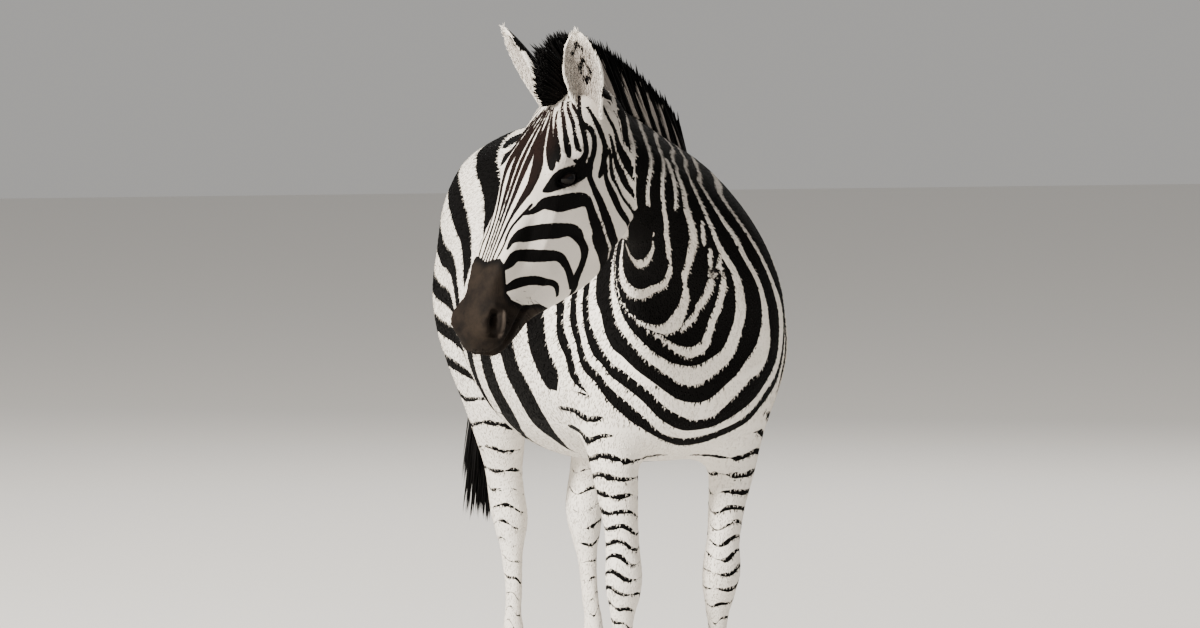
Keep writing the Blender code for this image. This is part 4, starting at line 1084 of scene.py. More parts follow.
store(skin.data, "band", (band_number, band_black, shadow))
# painted shade: shaded_neck greys the neck's whites towards GREY, most near the head and on the neck's left
# side, standing in for the shade that lies there. When stored below, a grey share that grows towards the feet
# is added to it.
shaded_neck = 0.34 * ease(along, 4.8, 3.4) + 0.22 * ease(girth, 0.05, 0.35) * ease(along, 4.4, 3.0)
pale_rim = np.zeros(len(skin_points))
for side in (1, -1):
    far, _ = path_distance(skin_points, [on_head(a, u, l * side) for a, u, l in NOSTRIL_WING])
    pale_rim = np.maximum(pale_rim, 0.55 * ease(far, 0.008, 0.002))
store(skin.data, "line", (np.maximum(split, NO_MARK), shaded_neck + 0.15 * ease(z, 0.4, 0.05), pale_rim))
store(skin.data, "ring", (ring_number, ring_black, mark))
store(skin.data, "tone", (brown, muzzle, 0.9 * ease(z, 0.85, 0.60)))


def stripe_fields(count, number=0.0, black=NO_BLACK, mark=NO_MARK, brown=0.0, grey=0.0):
    """What the paint reads, in rows of three, for pieces that don't take it from the skin."""
    def rows(*columns):
        return np.stack([np.zeros(count) + column for column in columns], axis=1)

    return {"band": rows(number, black, 0), "ring": rows(0, NO_BLACK, mark), "tone": rows(brown, 0, 0),
            "line": rows(NO_MARK, grey, 0)}


WHITE, CREAM, BLACK = (0.84, 0.81, 0.765), (0.72, 0.655, 0.56), (0.0018, 0.0016, 0.0016)
BROWN, MUZZLE, SHADOW = (0.011, 0.0045, 0.003), (0.005, 0.004, 0.0036), (0.50, 0.38, 0.27)
GREY, LIP, RIM = (0.22, 0.185, 0.165), (0.020, 0.0145, 0.0105), (0.13, 0.105, 0.088)
BAND_PERIOD, RING_PERIOD = 0.085, 0.045  # metres from one black stripe to the next


def stripe_depth(number, black, period):
    """Metres inside the nearest black stripe, from its number and the black share of a period."""
    away = abs((number + 0.5).math("FRACT") - 0.5)
    return (black * 0.5 - away) * period


def coat_material(name, bump=False):
    """The paint of skin and hair: black where the depth inside a stripe or mark is above 0, else pale."""
    material, tree, shader = new_material(name, WHITE, 0.75, 0.05)
    band, ring, tone, line = (parts(tree, key) for key in ("band", "ring", "tone", "line"))
    gaps = (noise(tree, 34, 3, 0.6) - 0.44) * 0.9 * tone[2]
    rings = stripe_depth(ring[0], ring[1] - gaps, RING_PERIOD)
    ink = stripe_depth(band[0], band[1], BAND_PERIOD).math("MAXIMUM", rings).math("MAXIMUM", ring[2])
    ink = ink.math("MINIMUM", line[0] * -1.0)
    edge = (noise(tree, 160, 2) - 0.5) * 0.0025
    wander = (noise(tree, 22, 3) - 0.5) * 0.004
    ink = ((ink + (edge + wander)) * 900.0).math("ADD", 0.5, clamp=True)
    pale = mix(noise(tree, 6, 4, 0.6) * 0.8, WHITE, CREAM)
    faint = (0.07 - abs(band[0].math("FRACT") - 0.5)).math("MULTIPLY", 12.0, clamp=True) * band[2]
    # line[1] greys the whites towards GREY: painted shade on the neck and the mane, the grey inside the ears,
    # and a grey that grows towards the feet
    pale = mix(line[1], mix(faint * 0.7, pale, SHADOW), GREY)
    mottle = (noise(tree, 19, 5, 0.65) * 2.6).math("SUBTRACT", 0.85, clamp=True)
    nose = mix(mottle * tone[1], MUZZLE, LIP)
    dark = mix(tone[1], mix(tone[0] * noise(tree, 40, 2), BLACK, BROWN), nose)
    colour = mix(line[2], mix(ink, pale, dark), RIM)
    fleck = noise(tree, 420, 2) * 0.5 + 0.75
    inputs = {0: 0.5, 6: colour, 7: fleck}
    shade = lay(tree, "ShaderNodeMix", inputs, 2, data_type="RGBA", blend_type="MULTIPLY")
    shade.into(shader, "Base Color")
    if bump:
        roughen(shader, noise(tree, 330, 4, 0.6, (1, 1, 0.25)), 0.35, 0.002)
    return material


hide_paint = coat_material("short_coat", True)
skin.data.materials.append(hide_paint)
skin.data.shade_smooth()


# ---------------------------------------------------------------- ears
# Long cupped ears, pale inside with dark spots, white behind with a black band under the white tip. They
# are cartilage under thin skin, sunk into the head at their roots.
EAR_LENGTH = 0.158
# along the ear, half width, depth of the cup, thickness
EAR = [
    (-0.20, 0.024, 0.022, 0.008),
    (0.00, 0.029, 0.026, 0.007),
    (0.20, 0.037, 0.029, 0.006),
    (0.42, 0.041, 0.026, 0.005),
    (0.62, 0.038, 0.019, 0.005),
    (0.80, 0.029, 0.012, 0.004),
    (0.93, 0.016, 0.006, 0.003),
    (1.00, 0.005, 0.002, 0.002),
]
# side: foot on the head (ahead, up, left), direction it points in, direction its cup opens in
EARS = {
    "left": ((0.022, -0.034, 0.064), (-0.240, -0.185, 0.950), (-0.45, -0.89, -0.20)),
    "right": ((0.012, -0.022, -0.072), (-0.480, 0.020, 0.860), (-0.90, -0.05, -0.44)),
}
EAR_ARC = 105  # degrees each way from the back of the cup to its rim
EAR_STEPS, EAR_POINTS = 40, 25
# dark spots inside: along the ear, round it, length and width
EAR_SPOTS = [(0.122, -0.10, 0.007, 0.10), (0.108, -0.28, 0.006, 0.12), (0.112, 0.10, 0.008, 0.06),
             (0.086, 0.02, 0.012, 0.10), (0.072, -0.12, 0.014, 0.08), (0.062, 0.18, 0.012, 0.07),
             (0.046, 0.02, 0.008, 0.14), (0.094, 0.30, 0.006, 0.06)]


def make_ear(side):
    spot, points, opens = EARS[side]
    foot, tall = on_head(*spot), Vector(points).normalized()
    wide = tall.cross(Vector(opens)).normalized()
    open_way = wide.cross(tall)
    bm = bmesh.new()
    rings, where = [], []
    shares = [2 * i / (EAR_POINTS - 1) - 1 for i in range(EAR_POINTS)]
    for along_ear, half, deep, thick in sampled(EAR, EAR_STEPS):
        centre = foot + tall * (along_ear * EAR_LENGTH)
        outer, inner = [], []
        for share in shares:
            spin = math.radians(EAR_ARC) * share
            a, b = math.sin(spin), -math.cos(spin)
            ripple = 0.0007 * math.sin(9 * share + 5 * along_ear)
            outer.append(centre + wide * (half * a) + open_way * (deep * b))
            inner.append(centre + wide * ((half - thick) * a)
                         + open_way * ((deep - thick) * b + thick * 0.35 + ripple))
        where.extend((along_ear, share, 0.0) for share in shares)
        where.extend((along_ear, -share, 1.0) for share in shares)
        rings.append(outer + inner[::-1])
    add_loft(bm, rings)
    ear = finish_mesh(bm, "ear_piece_" + side)
    smooth_mesh(ear.data, 2, np.ones(len(where)))
    tall_share, around, inside = np.array(where).T
    length = tall_share * EAR_LENGTH
    tip_band = 0.016 - np.abs(length - 0.112 - 0.006 * around)
    root_band = 0.012 - np.abs(length - 0.036 + 0.01 * around)
    aside = -0.38 if side == "left" else 0.38
    back_stripe = np.minimum(0.013 - 0.036 * np.abs(around - aside), 0.050 - np.abs(length - 0.100))
    black = np.where(inside > 0.5, NO_MARK, np.maximum(np.maximum(tip_band, root_band), back_stripe))
    for high_spot, aside, tall_spot, wide_spot in EAR_SPOTS:
        reach = np.hypot((length - high_spot) / tall_spot, (around - aside) / wide_spot)
        black = np.where(inside > 0.5, np.maximum(black, (1 - reach) * 0.004), black)
    grey = inside * (0.35 + 0.4 * ease(np.abs(around), 0.8, 0.1)) * ease(length, 0.150, 0.10)
    for key, rows in stripe_fields(len(where), mark=black, grey=grey).items():
        store(ear.data, key, rows.T)
    sheet = (0.1 + 0.8 * np.clip(tall_share, 0, 1), 0.25 + 0.2 * around + 0.5 * inside, np.zeros(len(where)))
    store(ear.data, "root_uv", sheet)
    ear.data.materials.append(hide_paint)
    ear.data.shade_smooth()
    return ear


ears = {side: make_ear(side) for side in ("left", "right")}

# ---------------------------------------------------------------- eyes
# Glass eyes: near-black brown with a level oval pupil under a clear bulging front. Each is a ball that fills
# its lids, and its paint goes by the place as seen from the front.


def make_eye(side):
    out, long_way, across = (Vector(way) for way in eye_frame(side))
    bm = bmesh.new()
    bmesh.ops.create_uvsphere(bm, u_segments=48, v_segments=32, radius=1.0)
    bm.verts.index_update()
    # the faces come in another order in each run, so they are put in the order of their corners
    for rank, face in enumerate(sorted(bm.faces, key=lambda face: sorted(v.index for v in face.verts))):
        face.index = rank
    bm.faces.sort()
    turn = Matrix((long_way, across, out)).transposed()
    for vertex in bm.verts:
        point = vertex.co.copy()
        bulge = 1 + 0.05 * float(ease(point.z, 0.80, 1.0))
        vertex.co = eye_place(side) + turn @ (point * (EYE_RADIUS * bulge))
    if turn.determinant() < 0:
        bmesh.ops.reverse_faces(bm, faces=bm.faces)
    eye = finish_mesh(bm, "eye_piece_" + ("left" if side > 0 else "right"))
    away = vertex_array(eye.data) - np.array(eye_place(side))
    store(eye.data, "gaze", [away @ np.array(way) / EYE_RADIUS for way in (long_way, across, out)])
    return eye


eye_paint, tree, shader = new_material("eye_glass", (0.02, 0.011, 0.007), 0.07, 0.12)
gaze = parts(tree, "gaze")


def oval(*halves):
    """How far out a place is, where 1 is the edge of an oval with these half widths."""
    squares = [part.math("DIVIDE", half).math("POWER", 2.0) for part, half in zip(gaze, halves)]
    return (squares[0] + squares[1]).math("SQRT")


in_pupil = (1.06 - oval(0.34, 0.17)).math("MULTIPLY", 9.0, clamp=True)
streaks = mix(noise(tree, 180, 3), (0.0040, 0.0020, 0.0014), (0.0012, 0.0010, 0.0010))
iris = mix(in_pupil, streaks, (0.002, 0.002, 0.003))
outer_eye = (oval(1.0, 1.0) - 0.66).math("MULTIPLY", 8.0, clamp=True)
mix(outer_eye, iris, (0.0020, 0.0017, 0.0016)).into(shader, "Base Color")
for side, name in ((1, "left"), (-1, "right")):
    eye = make_eye(side)
    eye.data.materials.append(eye_paint)
    eye.data.shade_smooth()
    eye.data.transform(Matrix.Translation(SHIFT))
    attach(eye, "root")
    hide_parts("eye_" + name)

# ---------------------------------------------------------------- hooves
# Dark horn with fine growth rings under the coronet and a worn lower edge, standing on a flat sole. The fore
# hooves are rounder and the hind ones narrower.
# height, half width, reach ahead, reach behind, centre ahead of the coronet's, in tenths of a millimetre
HOOF = {
    "fore": scaled([
        (0, 485, 645, 425, 40), (30, 508, 668, 448, 40), (160, 475, 600, 435, 30), (300, 440, 520, 420, 20),
        (450, 405, 460, 405, 10), (597, 370, 400, 390, 0)
    ], 10000),
    "hind": scaled([
        (0, 425, 605, 405, 40), (30, 448, 628, 428, 40), (160, 425, 560, 410, 30), (300, 405, 490, 400, 20),
        (450, 375, 430, 385, 10), (597, 345, 370, 370, 0)
    ], 10000),
}
horn, tree, shader = new_material("hoof_horn", (0.016, 0.013, 0.011), 0.55)
stripes = noise(tree, 60, 4, 0.6, (1, 1, 0.12))
growth = noise(tree, 90, 2, 0.5, (0.15, 0.15, 1))
tint = mix(stripes, (0.006, 0.005, 0.0045), (0.026, 0.021, 0.017))
mix(growth * 0.5, tint, (0.045, 0.036, 0.028)).into(shader, "Base Color")
(stripes * 0.25 + 0.36).into(shader, "Roughness")
roughen(shader, growth, 0.4, 0.001)


def make_hoof(end, side_name, table, side, step, outward):
    share = (table[-1][0] - CORONET_Z) / (table[-1][0] - table[-2][0])
    out, ahead = (table[-1][k] + (table[-2][k] - table[-1][k]) * share for k in (1, 2))
    rings = []
    for height, width, front, back, shift in sampled(HOOF[end], 40):
        groove = 0.0004 * math.sin(height * 900) * float(ease(height, 0.006, 0.014))
        row = (height, out, ahead + shift, width + groove, front + groove, back + groove)
        rings.append(leg_ring(row, side, step, outward, 56))
    bm = bmesh.new()
    add_loft(bm, rings)
    hoof = finish_mesh(bm, f"hoof_piece_{end}_{side_name}")
    hoof.data.materials.append(horn)
    hoof.data.shade_smooth()
    hoof.data.transform(Matrix.Translation(SHIFT))
    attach(hoof, "root")
    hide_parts(f"hoof_{end}_{side_name}")


for leg in LEGS:
    make_hoof(*leg)

# ---------------------------------------------------------------- planting hair
# Tufts and locks are solid and are planted one by one: each has a root, a way out of the skin, a lie, a
# size, and the stripe it grows in. A tree of nodes stands one lock on each root.
random = np.random.default_rng(11)


def make_lock(name, rows, corners, flat):
    """A tapered lock along +Z that bends towards -X: rows of (along, half width, bend)."""
    bm = bmesh.new()
    spins = [2 * math.pi * (k + 0.5) / corners for k in range(corners)]
    rings = [[bm.verts.new((math.cos(spin) * half * flat - bend, math.sin(spin) * half, along_lock))
              for spin in spins] for along_lock, half, bend in rows[:-1]]
    tip = bm.verts.new((-rows[-1][2], 0, rows[-1][0]))
    bridge(bm, rings)
    for k in range(corners):
        bm.faces.new((rings[-1][k], rings[-1][(k + 1) % corners], tip))
    bm.faces.new(list(reversed(rings[0])))
    uv = bm.loops.layers.uv.new("leaf")
    for face in bm.faces:
        for loop in face.loops:
            place = loop.vert.co
            loop[uv].uv = (0.5 + max(-0.5, min(0.5, place.y * 40)), min(1.0, max(0.0, place.z)))
    lock = finish_mesh(bm, name)
    far = vertex_array(lock.data)[:, 2]
    tip_share = lock.data.attributes.new("tip", "FLOAT", "POINT")
    tip_share.data.foreach_set("value", np.ascontiguousarray(far / far.max(), np.float32))
    lock.hide_render = True
    return lock


PATCH = 0.003  # how much of the sheet the marks of one lock take up
planting = bpy.data.node_groups.new("plant locks", "GeometryNodeTree")
for label, kind in (("Geometry", "Geometry"), ("Lock", "Object"), ("Paint", "Material"), ("Patch", "Float")):
    planting.interface.new_socket(label, in_out="INPUT", socket_type="NodeSocket" + kind)
planting.interface.new_socket("Geometry", in_out="OUTPUT", socket_type="NodeSocketGeometry")
inlet = planting.nodes.new("NodeGroupInput")
given = {label: Wire(planting, inlet.outputs[label]) for label in ("Geometry", "Lock", "Paint", "Patch")}


def named(name):
    kind = "GeometryNodeInputNamedAttribute"
    return lay(planting, kind, {"Name": name}, "Attribute", data_type="FLOAT_VECTOR")


shape = lay(planting, "GeometryNodeObjectInfo", {"Object": given["Lock"]}, "Geometry")
turned = lay(planting, "FunctionNodeAlignRotationToVector", {"Vector": named("lie")}, axis="Z")
turned = lay(planting, "FunctionNodeAlignRotationToVector", {"Rotation": turned, "Vector": named("out")},
             axis="X", pivot_axis="Z")
stood = lay(planting, "GeometryNodeInstanceOnPoints", {
    "Points": given["Geometry"], "Instance": shape, "Rotation": turned, "Scale": named("size")})
real = lay(planting, "GeometryNodeRealizeInstances", {"Geometry": stood})
leaf = lay(planting, "ShaderNodeVectorMath", {0: named("leaf"), "Scale": given["Patch"]}, operation="SCALE")
place = lay(planting, "ShaderNodeVectorMath", {0: named("root_uv"), 1: leaf}, operation="ADD")
marked = lay(planting, "GeometryNodeStoreNamedAttribute", {
    "Name": "OFBake", "Geometry": real, "Value": place}, data_type="FLOAT2", domain="CORNER")
dressed = lay(planting, "GeometryNodeSetMaterial", {"Geometry": marked, "Material": given["Paint"]})
dressed.into(planting.nodes.new("NodeGroupOutput"), "Geometry")
sockets = {item.name: item.identifier for item in planting.interface.items_tree if item.in_out == "INPUT"}


def plant(name, lock, paint, roots, fields, stands_for=()):
    """Stand a lock on every root; fields hold the roots' out, lie, size, root_uv and stripe attributes."""
    mesh = bpy.data.meshes.new(name)
    mesh.vertices.add(len(roots))
    set_vertices(mesh, roots + np.array(SHIFT))
    for key, rows in fields.items():
        store(mesh, key, np.asarray(rows).T)
    piece = link_object(name, mesh)
    modifier = piece.modifiers.new("locks", "NODES")
    modifier.node_group = planting
    modifier[sockets["Lock"]] = lock
    modifier[sockets["Paint"]] = paint
    modifier[sockets["Patch"]] = PATCH
    apply_modifiers(piece)
    for spare in ("lie", "out", "size", "root_uv", "leaf"):
        if spare in piece.data.attributes:
            piece.data.attributes.remove(piece.data.attributes[spare])
    piece.data.shade_smooth()
    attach(piece, "root")
    if stands_for:
        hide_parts(*stands_for)

def unit(vectors):
    return vectors / np.maximum(np.linalg.norm(vectors, axis=-1, keepdims=True), 1e-9)


def plant_rows(name, lock, rows, marks, stands_for=()):
    """Plant long hair from rows of (root, lie, out, size, place on the sheet)."""
    roots, lies, outs, sizes, spots = (np.array(column) for column in zip(*rows))
    fields = stripe_fields(len(rows), **marks)
    fields.update(out=unit(outs), lie=unit(lies), size=sizes, root_uv=spots)
    plant(name, lock, mane_paint, roots, fields, stands_for)


# ---------------------------------------------------------------- mane and forelock
# A stiff upright mane: long coarse locks from the crest, in the neck's stripes, black at the tips, and a
# black tuft between the ears.
# share along the neck, height above the crest, half width
MANE = [
    (0.12, 0.008, 0.008),
    (0.20, 0.034, 0.018),
    (0.35, 0.082, 0.023),
    (0.55, 0.114, 0.026),
    (0.75, 0.122, 0.028),
    (0.90, 0.116, 0.029),
]
# ahead along the head, height above the brow line, lean ahead of the tips, half width
FORELOCK = [
    (-0.024, 0.106, -0.008, 0.029),
    (0.006, 0.084, 0.000, 0.027),
    (0.030, 0.060, 0.012, 0.020),
    (0.046, 0.028, 0.014, 0.010),
]
mane_lock = make_lock(
    "mane_lock",
    [(0.0, 0.030, 0.0), (0.25, 0.036, 0.002), (0.5, 0.033, 0.012), (0.75, 0.024, 0.028), (0.92, 0.011, 0.040),
     (1.0, 0.0, 0.048)], 4, 0.45,
)
mane_paint = coat_material("mane_hair")
tree = mane_paint.node_tree
shader = tree.nodes["Principled BSDF"]
striped = Wire(tree, shader.inputs["Base Color"].links[0].from_socket)
tip = lay(tree, "ShaderNodeAttribute", out="Fac", attribute_name="tip")
black_from = noise(tree, 120, 2) * 0.16 + 0.52
mix((tip - black_from).math("MULTIPLY", 9.0, clamp=True), striped, BLACK).into(shader, "Base Color")
shader.inputs["Roughness"].default_value = 0.55

MANE_LOCKS, FORELOCK_LOCKS, TAIL_LOCKS, LASHES, WHISKERS = 2600, 760, 520, 26, 190
rows, places = [], []
for k in range(MANE_LOCKS):
    t = (k + 0.5) / MANE_LOCKS
    share, tall, wide = blend_rows(MANE, t)
    crest, throat, side_way, *_ = neck_section(share)
    up_way = (crest - throat).normalized()
    fore_way = (neck_section(share + 0.01)[0] - crest).normalized()
    across = random.uniform(-1, 1)
    root = crest - up_way * (0.012 + 0.030 * across**2) + side_way * (wide * 0.95 * across)
    lean_in = -0.16 * across + random.normal(0, 0.045)
    lie = up_way + side_way * lean_in + fore_way * (0.10 + random.normal(0, 0.05))
    long = (tall + 0.014 + 0.018 * across**2) * random.uniform(0.86, 1.03)
    out = -fore_way + side_way * random.normal(0, 0.5)
    thick = random.uniform(0.10, 0.16)
    rows.append((root, lie, out, (thick, thick, long), (0.03 + 0.9 * t, 0.5 + 0.4 * across, 0)))
    places.append((6 * (1 - share), across))
mane_along, across = np.array(places).T
root_girth = girth_place(mane_along, 1 - 0.13 * across**2, np.ones(len(across))) * SHARE_OF_GIRTH
on_left = ease(across, -0.4, 0.4)
numbers = band_sheet(np.stack([mane_along, root_girth], axis=1)) * on_left
numbers = numbers + band_sheet(np.stack([mane_along, -root_girth], axis=1)) * (1 - on_left)
# the mane's whites are greyed all over (grey 0.78): painted shade
plant_rows("mane_locks", mane_lock, rows, {"number": numbers, "black": 0.66, "grey": 0.78}, ("mane",))

rows = []
for k in range(FORELOCK_LOCKS):
    t = (k + 0.5) / FORELOCK_LOCKS
    ahead, tall, lean, wide = blend_rows(FORELOCK, t)
    across = random.uniform(-1, 1)
    left_way = wide * 0.85 * across
    root = on_head(ahead - 0.004, -0.004 - 8 * left_way**2, left_way)
    tip = on_head(ahead + lean - 0.012 + random.normal(0, 0.006), tall * random.uniform(0.80, 1.02),
                  left_way * 0.75 + random.normal(0, 0.004))
    out = -HEAD_AHEAD + HEAD_LEFT * random.normal(0, 0.6)
    thick = random.uniform(0.08, 0.13)
    size = (thick, thick, (tip - root).length)
    rows.append((root, tip - root, out, size, (0.03 + 0.9 * t, 0.5 + 0.4 * across, 0)))
plant_rows("forelock", mane_lock, rows, {"mark": ALL_BLACK, "brown": 0.15})

# ---------------------------------------------------------------- tail tuft
# The dock ends in a switch of long black-brown hair that hangs nearly to the hocks. Each lock leaves the
# dock's lower third, swings out and comes in again at its tip.
tuft_low, tuft_high = (Vector(corner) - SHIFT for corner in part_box("tail_tuft"))
tail_lock = make_lock(
    "tail_lock",
    [(0.0, 0.020, 0.0), (0.15, 0.030, 0.006), (0.35, 0.034, 0.020), (0.55, 0.031, 0.030),
     (0.75, 0.024, 0.026), (0.92, 0.012, 0.014), (1.0, 0.0, 0.008)], 4, 0.5,
)
rows = []
for k in range(TAIL_LOCKS):
    t = (k + 0.5) / TAIL_LOCKS
    *middle, radius = blend_rows(TAIL, 0.66 + 0.34 * t)
    spin = random.uniform(0, 2 * math.pi)
    round_way = Vector((math.cos(spin), math.sin(spin), 0))
    root = Vector(middle) + round_way * (radius * 0.55)
    long = (root.z - tuft_low.z) * random.uniform(0.72, 0.99)
    spread = 0.055 * math.sqrt(random.uniform(0, 1))
    end_x = (tuft_low.x + tuft_high.x) / 2 + math.cos(spin) * spread
    end_y = middle[1] + 0.012 + math.sin(spin) * spread * 0.9
    lie = Vector((end_x - root.x, end_y - root.y, -long)).normalized()
    thick = random.uniform(0.11, 0.19)
    size = (thick * random.uniform(0.5, 1.4), thick, long)
    rows.append((root, lie, -round_way, size, (0.03 + 0.9 * t, 0.05 + 0.9 * spin / (2 * math.pi), 0)))
plant_rows("tail_switch", tail_lock, rows, {"mark": ALL_BLACK, "brown": 0.5}, ("tail_tuft",))

# ---------------------------------------------------------------- lashes, whiskers and chin hair
# Single stiff dark hairs: a row of lashes on each upper lid, and whiskers on the lips and the chin, longer
# the lower they stand.
BRISTLE = [(0.0, 0.030, 0.0), (0.5, 0.022, 0.02), (0.85, 0.010, 0.08), (1.0, 0.0, 0.12)]
bristle = make_lock("bristle", BRISTLE, 3, 1.0)
rows = []
for side in (1, -1):
    out, long_way, across_way = (Vector(way) for way in eye_frame(side))
    for k in range(LASHES):
        t = (k + 0.5) / LASHES * 1.7 - 0.85
        a, b = OPENING_HALF * t, OPENING_UP * (1 - abs(t) ** 2.2) + 0.001
        deep = math.sqrt(max((EYE_RADIUS + LID_THICK) ** 2 - a * a - b * b, 0.0))
        root = eye_place(side) + long_way * a + across_way * b + out * deep
        lie = out + across_way * 0.35 + long_way * (0.3 * t) + Vector(random.normal(0, 0.06, 3))
        size = (0.018, 0.018, random.uniform(0.010, 0.015))
        rows.append((root, lie, -across_way, size, (0.1 + 0.8 * k / LASHES, 0.3 + 0.1 * side, 0)))
skin_normals = vertex_array(skin.data, "normal")
around_mouth = (head_ahead > 0.44) & (head_ahead < 0.62) & (head_up < -0.075) & (on_head_share > 0.5)
for k, at in enumerate(random.choice(np.flatnonzero(around_mouth), WHISKERS, replace=False)):
    low = float(ease(-head_up[at], 0.10, 0.16))
    lie = Vector(skin_normals[at]) + HEAD_AHEAD * 0.35 + Vector(random.normal(0, 0.25, 3))
    size = (0.016, 0.016, random.uniform(0.008, 0.016) + 0.016 * low)
    out = HEAD_UP + HEAD_LEFT * 0.2
    rows.append((Vector(skin_points[at]), lie, out, size, (0.05 + 0.9 * k / WHISKERS, 0.8, 0)))
plant_rows("bristles", bristle, rows, {"mark": ALL_BLACK, "brown": 0.2})

# ---------------------------------------------------------------- the coat
# Short close hair over the whole skin, in small solid tufts that lie back along the body and down the legs,
# smallest on the face and the feet. Each tuft has the colour of the skin at its root.
coat_lock = make_lock("coat_lock", [(0.0, 0.150, 0.0), (0.45, 0.170, -0.03), (1.0, 0.0, 0.10)], 3, 0.35)


def flow(points, normals, along):
    """The way the hair lies at points of the skin, along the surface."""
    plane = np.clip((along * 10).astype(int), 0, LAST_PLANE)
    back = plane_on[plane] + np.array((0, 0, -0.45))
    down = np.tile(np.array((0.0, 0.10, -1.0)), (len(points), 1))
    low = ease(-points[:, 2], -0.86, -0.70)[:, None]
    lie = back * (1 - low) + down * low
    lie = np.where((points[:, 1] > 0.73)[:, None], down, lie)
    ahead, up, left = head_parts(points)
    face_lie = np.array(HEAD_AHEAD) * ease(ahead, 0.02, 0.16)[:, None]
    face_lie = face_lie + np.array(HEAD_UP) * (0.3 - 1.2 * ease(-up, 0.0, 0.16))[:, None]
    on_it = ((ahead > -0.03) & (np.abs(left) < 0.104) & (up > -0.335) & (ahead < 0.8))[:, None]
    lie = np.where(on_it, face_lie, lie)
    return unit(lie - normals * (lie * normals).sum(1)[:, None])


def scatter(mesh, keep, spacing, seed):
    """Random places on the faces that keep marks, about a spacing apart: face corners and their shares."""
    mesh.calc_loop_triangles()
    corners = np.empty(len(mesh.loop_triangles) * 3, int)
    mesh.loop_triangles.foreach_get("vertices", corners)
    corners = corners.reshape(-1, 3)
    points = vertex_array(mesh)
    a, b, c = (points[corners[:, k]] for k in range(3))
    area = np.linalg.norm(np.cross(b - a, c - a), axis=1) / 2
    gap = spacing[corners].mean(1)
    wanted = area / gap**2 * keep[corners].all(1)
    source = np.random.default_rng(seed)
    count = np.floor(wanted + source.uniform(0, 1, len(wanted))).astype(int)
    chosen = np.repeat(np.arange(len(corners)), count)
    u, v = source.uniform(0, 1, (2, len(chosen)))
    over = u + v > 1
    u, v = np.where(over, 1 - u, u), np.where(over, 1 - v, v)
    return corners[chosen], np.stack([1 - u - v, u, v], axis=1)


def read_field(mesh, name):
    values = np.empty(len(mesh.vertices) * 3, np.float32)
    mesh.attributes[name].data.foreach_get("vector", values)
    return values.reshape(-1, 3).astype(float)


def grow_coat(name, mesh, keep, uv, lie_of, seed, *tufts):
    """Plant tufts on part of a skin; tufts are their spacing, length, thickness and lift."""
    spacing, long, thick, lift = (np.ones(len(mesh.vertices)) * values for values in tufts)
    corners, shares = scatter(mesh, keep, spacing, seed)

    def here(values):
        """Values at the tufts' roots, from those at the points of the skin."""
        return (values[corners] * (shares[:, :, None] if values.ndim == 2 else shares)).sum(1)

    points, normals = here(vertex_array(mesh)), unit(here(vertex_array(mesh, "normal")))
    source = np.random.default_rng(seed + 100)
    count = len(points)
    lie = lie_of(points, normals, here)
    side = np.cross(normals, lie)
    rise = here(lift) * source.uniform(0.6, 1.4, count)
    lie = unit(lie + side * source.normal(0, 0.16, count)[:, None] + normals * rise[:, None])
    size = here(long) * source.uniform(0.75, 1.2, count)
    width = here(thick) * source.uniform(0.8, 1.2, count)
    fields = {key: here(read_field(mesh, key)) for key in ("band", "ring", "tone", "line")}
    fields["line"][:, 1] = np.clip(fields["line"][:, 1] + source.normal(0, 0.04, count), 0, 1)
    fields.update(out=normals, lie=lie, size=np.stack([width, width, size], 1), root_uv=here(uv))
    roots = points - normals * (0.0004 + 0.03 * size)[:, None]
    plant(name, coat_lock, coat_paint, roots, fields)


def sheet_places(u, v):
    """Places on the sheet that holds the marks, a little inside its edges."""
    return np.stack([np.clip(u, 0.01, 0.985), np.clip(v, 0.01, 0.985), np.zeros(len(u))], 1)


def skin_flow(points, normals, here):
    return flow(points, normals, here(along))


coat_paint = coat_material("tuft_coat")
x, y, z = skin_points.T
face_part = on_head_share > 0.5
leg_part = z < 0.72
trunk = ~face_part & ~leg_part & (along >= 5.0)
at_nostril = ease(away_from(skin_points, NOSTRIL), 0.030, 0.022) > 0.3
by_eye = away_from(skin_points, (EYE_AHEAD, EYE_UP, EYE_LEFT)) < 0.029
bare = by_eye | ((head_ahead > 0.50) & face_part & at_nostril)
body_uv = sheet_places(along / 16.5, 0.5 + girth / 2.2)
neck_uv = sheet_places(along / 5.6, 0.5 + girth / 1.5)
quarter = (x < 0) * 0.5 + hind * 0.25
leg_uv = sheet_places(quarter + 0.02 + 0.20 * (np.arctan2(leg_x, -leg_y) / (2 * math.pi) + 0.5), z / 0.78)
face_uv = sheet_places((head_ahead + 0.06) / 0.70, 0.5 + np.sign(head_left) * face_turn / 370)
slim = ease(z, 0.10, 0.70)
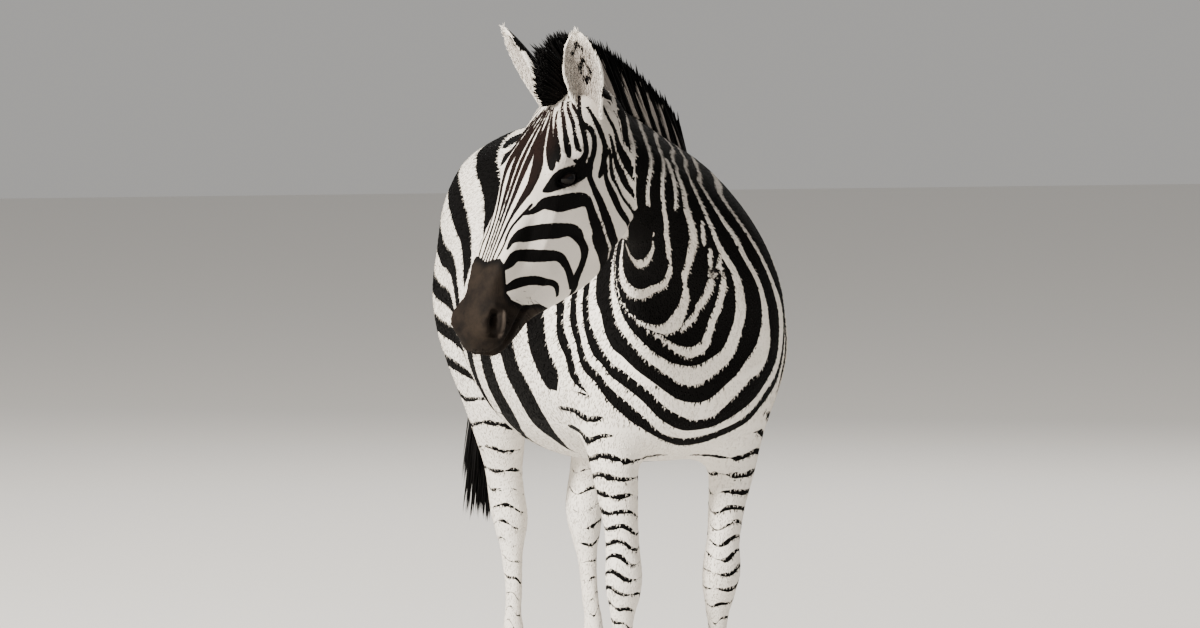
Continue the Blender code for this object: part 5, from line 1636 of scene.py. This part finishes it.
near_nose = ease(head_ahead, 0.05, 0.45)
# spacing, length, thickness and lift of the tufts
trunk_tufts = (0.0070, 0.0115, 0.0095, 0.15)
neck_tufts = (0.0047, 0.0095, 0.0085, 0.15)
leg_tufts = (0.0046 + 0.0010 * slim, 0.0066 + 0.0026 * slim, 0.0062 + 0.0018 * slim, 0.14)
face_tufts = (0.0046 - 0.0006 * near_nose, 0.0062 - 0.0028 * near_nose, 0.0060 - 0.0022 * near_nose, 0.13)
grown = [
    ("coat_trunk_left", trunk & (x >= 0), body_uv, trunk_tufts),
    ("coat_trunk_right", trunk & (x < 0), body_uv, trunk_tufts),
    ("coat_neck", ~face_part & ~leg_part & (along < 5.0), neck_uv, neck_tufts),
    ("coat_legs_fore", leg_part & ~hind, leg_uv, leg_tufts),
    ("coat_legs_hind", leg_part & hind, leg_uv, leg_tufts),
    ("coat_head", face_part & ~bare, face_uv, face_tufts),
]
for seed, (name, part, uv, tufts) in enumerate(grown, 1):
    grow_coat(name, skin.data, part, uv, skin_flow, seed, *tufts)
for side, ear in ears.items():
    tall = unit(np.array(EARS[side][1]))
    root_uv = read_field(ear.data, "root_uv")
    inside = (root_uv[:, 1] > 0.5).astype(float)

    def ear_flow(points, normals, here):
        lie = np.tile(tall, (len(points), 1)) + normals * 0.1
        return unit(lie - normals * (lie * normals).sum(1)[:, None])

    grow_coat("coat_ear_" + side, ear.data, np.full(len(root_uv), True), root_uv, ear_flow, 9,
              0.0032, 0.0062 + 0.0070 * inside, 0.0055, 0.12 + 0.14 * inside)

for side, ear in ears.items():
    ear.data.attributes.remove(ear.data.attributes["root_uv"])
    ear.data.transform(Matrix.Translation(SHIFT))
    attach(ear, "root")
    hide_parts("ear_" + side)
for lock in (mane_lock, tail_lock, bristle, coat_lock):
    bpy.data.objects.remove(lock)

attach(skin, "root")
skin.data.transform(Matrix.Translation(SHIFT))
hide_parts("head", "neck", "trunk", "tail", "leg_fore_left", "leg_fore_right", "leg_hind_left",
            "leg_hind_right")

low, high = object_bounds()
